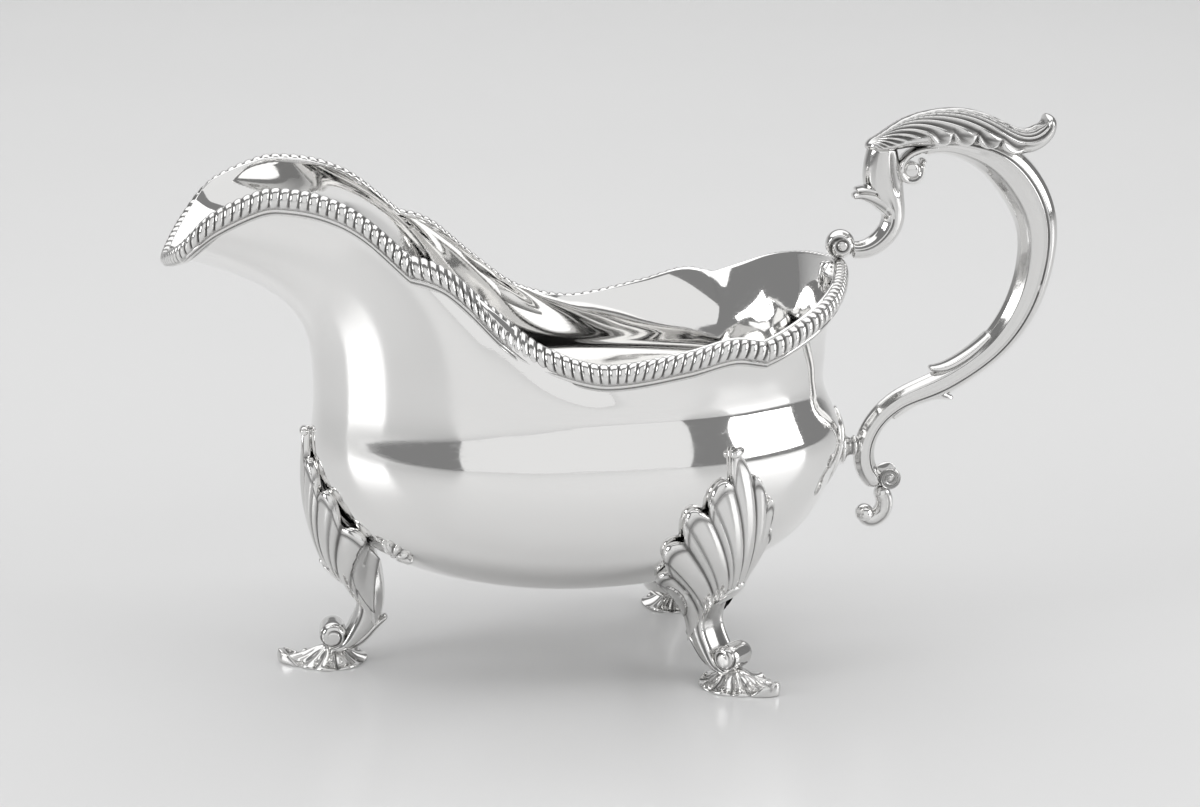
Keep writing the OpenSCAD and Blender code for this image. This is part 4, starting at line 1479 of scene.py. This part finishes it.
@dataclass
class Legs:
    """The three legs: each a curved stem, a fluted shell on the belly, a rolled scroll and a foot."""

    hull: Hull
    finishes: Finishes
    record: dict
    stem: tuple[tuple[float, ...], ...] = (
        (-9.2, 19.6, 8, 9), (-9.7, 15.5, 6.6, 9), (-8.7, 11.6, 6.2, 9), (-6, 7.6, 4.8, 9),
        (-2.6, 4.6, 2.6, 9), (0.6, 3.9, 1.2, 8.6),
    )
    flutes: tuple[tuple[float, ...], ...] = (
        (0, 62.6, 1.9, 0, 27.4, 8.2, 0, 42), (6.2, 54.2, 1.2, 2.2, 26.6, 6.6, 4.6, 38),
        (11.6, 48.6, -1.4, 3.7, 24.2, 3, 7.8, 32.6), (16, 38.4, -5.2, 4.6, 19.5, -2, 8.6, 26.6),
        (15.2, 30.4, -9.4, 4.8, 13, -8, 6.8, 23),
    )
    outline: tuple[tuple[float, float], ...] = (
        (0, 14.1), (9, 13.3), (18, 11.6), (32, 10), (55, 9.2), (90, 9), (125, 8.9), (155, 8.8),
        (180, 8.7),
    )
    flute_lines: tuple[float, ...] = (0, 17, 40, 72, 120, 180)
    shell_edge: float = 4.4
    feet: tuple[Foot, ...] = (
        Foot("front", 180, 0, 0.68, ((-9.2, 33, 5, 7), (-7.6, 28.3, 8.6, 8.6)), 0.36, 4.5),
        Foot("rear_left", 47, 119, 1.08, ((-9, 27.6, 5, 6), (-8, 23.7, 7.6, 8.5))),
        Foot("rear_right", -47, -121, 1.08, ((-9.4, 28.7, 5, 6), (-8, 24.4, 7.8, 8.5))),
    )

    def surface(self, foot: Foot, f: Array, t: Array) -> Array:
        """The middle surface of a shell, before its flutes.

        Args:
            foot: the leg's place.
            f: flute number, 0 in the middle, to 4 at either side.
            t: way up the flute, 0 to 1.

        Returns:
            Points in mm.
        """
        rows = np.array(self.flutes)
        signed = np.concatenate([rows[:0:-1] * [-1, 1, 1, -1, 1, 1, -1, 1], rows])
        r = Spline(signed, np.arange(-4, 5)).at(f)
        outer = smooth(np.abs(f), 2.9, 4.2)
        u = foot.shell_at - r[:, 0] * (1 - foot.pull * outer) / foot.per_degree
        k = self.hull.level(r[:, 1] + foot.lift * outer)
        tip = self.hull.skin(u, k) + self.hull.outward(u, k)
        start, bend = foot.carry(r[:, 2:5]), foot.carry(r[:, 5:8])
        t = t[:, None]
        return (1 - t) ** 2 * start + 2 * t * (1 - t) * bend + t * t * tip

    def shell(self, foot: Foot) -> bpy.types.Object:
        """The fan of flutes that spreads over the belly, with a scalloped edge.

        Args:
            foot: the leg's place.

        Returns:
            The shell.
        """
        last, e, out = self.shell_edge, 0.01, foot.aim(1.0, 0, 0.2)

        def place(s: Array, t: Array) -> tuple[Array, Array]:
            """Points of the shell, s across its nine flutes and t up the front, then down the back."""
            f = np.clip(9 * s - 4.5, -last, last)
            x = f - np.round(f)
            up = np.clip(np.where(t < 0.5, t, 1 - t) / 0.48, 0, 1)
            way = up * (1.035 - 0.14 * np.abs(2 * x) ** 2.2)
            along = self.surface(foot, f, way + e) - self.surface(foot, f, way - e)
            right, left = np.clip(f + e, -last, last), np.clip(f - e, -last, last)
            aside = self.surface(foot, right, way) - self.surface(foot, left, way)
            n = unit(np.cross(along, aside))
            n = n * np.where(np.sum(n * out, 1) < 0, -1, 1)[:, None]
            lobe = 1 - np.abs(2 * x) ** 2.4
            crease = bump(x * np.where(f < 0, -1, 1), 0.2, 0.05) * (np.abs(f) > 0.5)
            high = (1.05 * lobe - 0.5 * crease) * (0.4 + 0.6 * smooth(up, 0.1, 0.7))
            lip = 0.55 * bump(up, 0.97, 0.035)
            thin = np.sqrt(np.clip(1 - (np.abs(f) / last) ** 10, 0, 1))
            edge = np.sqrt(np.clip(1 - np.clip((up - 0.93) / 0.07, 0, 1) ** 2, 0, 1))
            level = np.where(t < 0.5, (high + lip) * edge, -1.3 + 0.6 * (1 - edge)) * thin
            # The gaps between flutes, the creases and a line under the scalloped lip are painted dark:
            # tarnish and painted shade.
            gap = smooth(np.abs(2 * x), 0.8, 1.0)
            dark = np.maximum.reduce([0.7 * crease, gap, 0.8 * bump(up, 0.915, 0.02)])
            dark = dark * smooth(up, 0.05, 0.3) * (t < 0.5)
            return self.surface(foot, f, way) + n * level[:, None], dark

        return draped(f"{foot.name}_shell", 200, 120, place)

    def drum(self, foot: Foot) -> bpy.types.Object:
        """The rolled scroll above the foot, a drum with a spiral on both ends.

        Args:
            foot: the leg's place.

        Returns:
            The drum.
        """
        r, half, height = 3.5, 4.7, 7.6

        def place(s: Array, t: Array) -> tuple[Array, Array]:
            """Points of the drum, s round it and t from end to end."""
            a, b = s * math.tau, t * math.pi
            f = np.sin(b) ** 0.45
            spiral = (f * 1.7 - s) % 1.0
            line = bump(spiral, 0.5, 0.12) * smooth(f, 0.3, 0.5) * (1 - smooth(f, 0.9, 0.97))
            across = -half * np.sign(np.cos(b)) * np.abs(np.cos(b)) ** 0.5 * (1 - 0.12 * line)
            p = np.stack([r * f * np.cos(a), across, height + r * f * np.sin(a)], 1)
            # The spiral groove is also painted dark: tarnish and painted shade.
            return foot.carry(p), line

        return draped(f"{foot.name}_volute", 64, 72, place)

    def foot(self, foot: Foot) -> bpy.types.Object:
        """The spread foot: a fluted palmette with a flat sole and an upturned toe.

        Args:
            foot: the leg's place.

        Returns:
            The foot.
        """
        table = np.array(self.outline)
        sole, lip_end = 0.3, 0.38

        def place(s: Array, t: Array) -> tuple[Array, Array]:
            """Points of the foot, s round it and t out under the sole, then back over the top."""
            a = s * 360
            off = np.minimum(a, 360 - a)
            flute = np.interp(off, self.flute_lines, np.arange(len(self.flute_lines)))
            x = flute - np.round(flute)
            ridge = 1 - np.abs(2 * x) ** 1.6
            edge = np.interp(off, table[:, 0], table[:, 1])
            edge = edge * (1 - 0.05 * (1 - ridge) * smooth(off, 6, 20))
            f = np.clip(np.where(t < sole, t / sole, (1 - t) / (1 - lip_end)), 0, 1)
            rim = np.clip((t - sole) / (lip_end - sole), 0, 1) * math.pi
            toe = 1 - smooth(off, 6, 28)
            top = 0.9 + 3.4 * (1 - smooth(f, 0.12, 1.0)) ** 1.25
            top = top - 0.6 * (1 - ridge) * smooth(f, 0.25, 0.6)
            top = top + toe * (0.5 * smooth(f, 0.5, 0.8) + 2.2 * smooth(f, 0.8, 1.0))
            z = np.where(t <= sole, 0.0, top)
            lip = (t > sole) & (t < lip_end)
            z = np.where(lip, top * (0.5 - 0.5 * np.cos(rim)), z)
            f = np.where(lip, 1 + 0.03 * np.sin(rim), f)
            reach = edge * f * np.where(t <= sole, 1 - 0.05 * toe, 1)
            c, d = np.cos(np.radians(a)), np.sin(np.radians(a))
            # The gaps between flutes are painted dark: tarnish and painted shade.
            dark = smooth(np.abs(2 * x), 0.76, 1.0) * smooth(f, 0.25, 0.5) * (t > 0.34)
            return foot.carry(np.stack([reach * c, reach * d, np.maximum(z, 0)], 1)), 0.9 * dark

        return draped(f"{foot.name}_foot_palmette", 180, 80, place)

    def details(self, foot: Foot) -> list[bpy.types.Object]:
        """The leg's small cast parts: collar, heel leaf, knob, and roll at the shell's top.

        Args:
            foot: the leg's place.

        Returns:
            The pieces.
        """
        collar = (
            (-6, 21.4, 3.4, 8.4), (-2.4, 23.6, 3, 8.8), (0.2, 25.6, 2.2, 7.4), (2, 27, 1.6, 4.2),
        )
        heel = (
            (-2.5, 3.8, 2.6, 6.4), (-6.9, 5.6, 2.9, 7.2), (-10.3, 8.7, 2.5, 6.6),
            (-12.6, 10.6, 1.9, 5.4), (-14.4, 11.6, 1.2, 3.6),
        )
        put = [
            Scroll(collar, ridged, 40, 24).build(f"{foot.name}_collar", foot.carry),
            Scroll(heel, ridged, 50, 24).build(f"{foot.name}_heel_leaf", foot.carry),
        ]
        knob = foot.carry(np.array([2.0, 0, 27.3]))
        ball = [(0.95 * math.sin(a), -1.3 * math.cos(a)) for a in np.linspace(0, math.pi, 11)]
        put.append(turned(f"{foot.name}_collar_knob", ball, knob, foot.aim(0, 1, 0), 20))
        top, under = self.surface(foot, np.zeros(2), np.array([1.0, 0.9]))
        out = foot.aim(1, 0, 0)
        side = unit(np.cross(top - under, out))
        tip = top + 0.7 * out
        turn = np.linspace(0, math.pi, 17)
        roll = [(1.25 * math.sin(a) ** 0.6, -2.2 * math.cos(a)) for a in turn]
        put.append(turned(f"{foot.name}_shell_roll", roll, tip, side, 28))
        return put

    def dress(self) -> None:
        """Makes and finishes the three legs."""
        mounts = {m["name"]: m for m in self.record["mounts"]}
        silver, put = self.finishes.legs, self.finishes.dress
        for foot in self.feet:
            foot.middle = np.array(mounts[f"{foot.name}_foot_rest"]["pos_m"]) / MM
            rows = foot.top + self.stem
            stem = Scroll(rows, stem_section, 110, 48, 0.5).build(f"{foot.name}_stem", foot.carry)
            put(stem, silver, f"{foot.name}_leg_scroll")
            put(self.shell(foot), silver, f"{foot.name}_leg_shell")
            put(self.drum(foot), silver, f"{foot.name}_leg_volute")
            put(self.foot(foot), silver, f"{foot.name}_foot")
            for piece in self.details(foot):
                put(piece, silver)


@dataclass
class Palmettes:
    """The two small leaf sprays on the belly beside the front leg."""

    hull: Hull
    finishes: Finishes
    angle: float = 34.0
    height: float = 35.6

    def mesh(self, side: Side) -> bpy.types.Object:
        """Makes one spray.

        Args:
            side: which side of the boat.

        Returns:
            The spray.
        """
        hull = self.hull
        mid = hull.level(self.height)

        def place(s: Array, t: Array) -> tuple[Array, Array]:
            """Points of the spray, s round it and t from the front's middle to the back's."""
            a, f = spread(s, t)
            petal = 1 + 0.16 * np.cos(9 * a)
            x, y = f * petal * np.cos(a), f * petal * np.sin(a)
            u, k = self.angle + 3.5 * x, mid + 0.3 * y
            vein = np.abs(np.cos(4.5 * a)) ** 0.5
            full = 0.7 + 0.7 * vein * smooth(f, 0.1, 0.5)
            high = 0.2 + full * np.sqrt(np.clip(1 - f**3, 0, 1))
            off = np.where(t < 0.5, high, -0.3)
            p = hull.skin(u, k) + off[:, None] * hull.outward(u, k)
            # The hollows between veins are painted dark: tarnish and painted shade.
            dark = (1 - smooth(vein, 0.3, 0.8)) * smooth(f, 0.25, 0.5) * (t < 0.5)
            return p * np.array([1, side.value, 1]), dark

        return draped(f"palmette_{side.name.lower()}", 108, 44, place)

    def dress(self) -> None:
        """Makes and finishes both sprays."""
        for side in Side:
            node = f"front_palmette_{side.name.lower()}"
            self.finishes.dress(self.mesh(side), self.finishes.legs, node)


# ---------------------------------------------------------------- studio


@dataclass(frozen=True)
class SoftBox:
    """A soft rectangular light: its place and size in metres, and its power in watts."""

    name: str
    place: tuple[float, float, float]
    size: tuple[float, float]
    power: float


@dataclass
class Studio:
    """Pale sweep, soft lights and the camera."""

    target: tuple[float, float, float] = (-3.3, 0.0, 60.1)
    azimuth: float = -7.19
    elevation: float = 16.46
    distance: float = 663.7
    roll: float = -0.10
    lens: float = 76.9
    shift: tuple[float, float] = (-0.0027, 0.021)
    floor_front: float = -3200.0
    floor_back: float = 1500.0
    floor_bend: float = 900.0
    floor_size: float = 6000.0
    room: float = 0.24
    boxes: tuple[SoftBox, ...] = (
        SoftBox("left_box", (-1.42, -0.36, 0.5), (0.7, 0.55), 6),
        SoftBox("right_box", (1.38, -0.58, 0.55), (1.0, 0.9), 9),
        SoftBox("front_wall", (0.05, -2.5, 1.2), (3.7, 2.7), 20),
        SoftBox("top_box", (0.0, 0.6, 1.9), (4.0, 3.0), 45),
    )

    def sweep(self) -> None:
        """The floor, curved up behind into a backdrop."""
        bend, back, size = self.floor_bend, self.floor_back, self.floor_size

        def place(s: Array, t: Array) -> tuple[Array, None]:
            """Points of the floor, s from side to side and t from front to back, then up."""
            y = self.floor_front + size * t
            over = np.clip(y - back, 0, None)
            a = np.clip(over / bend, 0, math.pi / 2)
            rise = np.clip(over - bend * math.pi / 2, 0, None)
            yy = np.where(over > 0, back + bend * np.sin(a), y)
            return np.stack([size * (s - 0.5), yy, bend * (1 - np.cos(a)) + rise], 1), None

        floor = draped("sweep", 24, 60, place, Vector((0, -0.3, 1)))
        floor.data.materials.append(Tabletop().make())

    def light(self, box: SoftBox) -> None:
        """Sets up a soft light, aimed at the boat.

        Args:
            box: the light.
        """
        lamp = bpy.data.lights.new(box.name, "AREA")
        lamp.shape, lamp.energy = "RECTANGLE", box.power
        lamp.size, lamp.size_y = box.size
        obj = bpy.data.objects.new(box.name, lamp)
        obj.location = box.place
        aim = Vector((0, 0, 0.07)) - Vector(box.place)
        obj.rotation_euler = aim.to_track_quat("-Z", "Y").to_euler()
        bpy.context.collection.objects.link(obj)

    def world(self) -> None:
        """Even light from all round."""
        world = bpy.data.worlds.new("soft_room")
        bpy.context.scene.world = world
        world.use_nodes = True
        back = world.node_tree.nodes["Background"]
        back.inputs["Color"].default_value = (self.room, self.room, self.room, 1)
        back.inputs["Strength"].default_value = 1.0

    def camera(self) -> None:
        """The camera, from the front right and a little above."""
        a, e, r = (math.radians(v) for v in (self.azimuth, self.elevation, self.roll))
        back = Vector((math.sin(a) * math.cos(e), -math.cos(a) * math.cos(e), math.sin(e)))
        right = Vector((math.cos(a), math.sin(a), 0))
        up = back.cross(right)
        right, up = right * math.cos(r) + up * math.sin(r), up * math.cos(r) - right * math.sin(r)
        turn = Matrix((right, up, back)).transposed().to_4x4()
        lens = bpy.data.cameras.new("camera")
        lens.lens, lens.sensor_width, lens.sensor_fit = self.lens, 36, "HORIZONTAL"
        lens.shift_x, lens.shift_y = self.shift
        lens.clip_start, lens.clip_end = 0.01, 20
        cam = bpy.data.objects.new("camera", lens)
        cam.matrix_world = Matrix.Translation((Vector(self.target) + back * self.distance) * MM) @ turn
        bpy.context.collection.objects.link(cam)
        bpy.context.scene.camera = cam

    def build(self) -> None:
        """Sets up everything round the boat."""
        self.sweep()
        bpy.context.scene.view_settings.view_transform = "Standard"
        self.world()
        for box in self.boxes:
            self.light(box)
        self.camera()


def main() -> None:
    """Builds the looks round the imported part."""
    logging.basicConfig(level=logging.INFO, format="%(message)s")
    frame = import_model()
    hull, finishes = Hull(), Finishes()
    finishes.build()
    Body(hull, finishes).dress()
    border = RimBorder(hull, finishes)
    border.dress()
    RimWire(hull, finishes, border).dress()
    Handle(hull, finishes).dress()
    Legs(hull, finishes, frame["record"]).dress()
    Palmettes(hull, finishes).dress()
    Studio().build()
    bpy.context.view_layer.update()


if __name__ == "__main__":
    main()
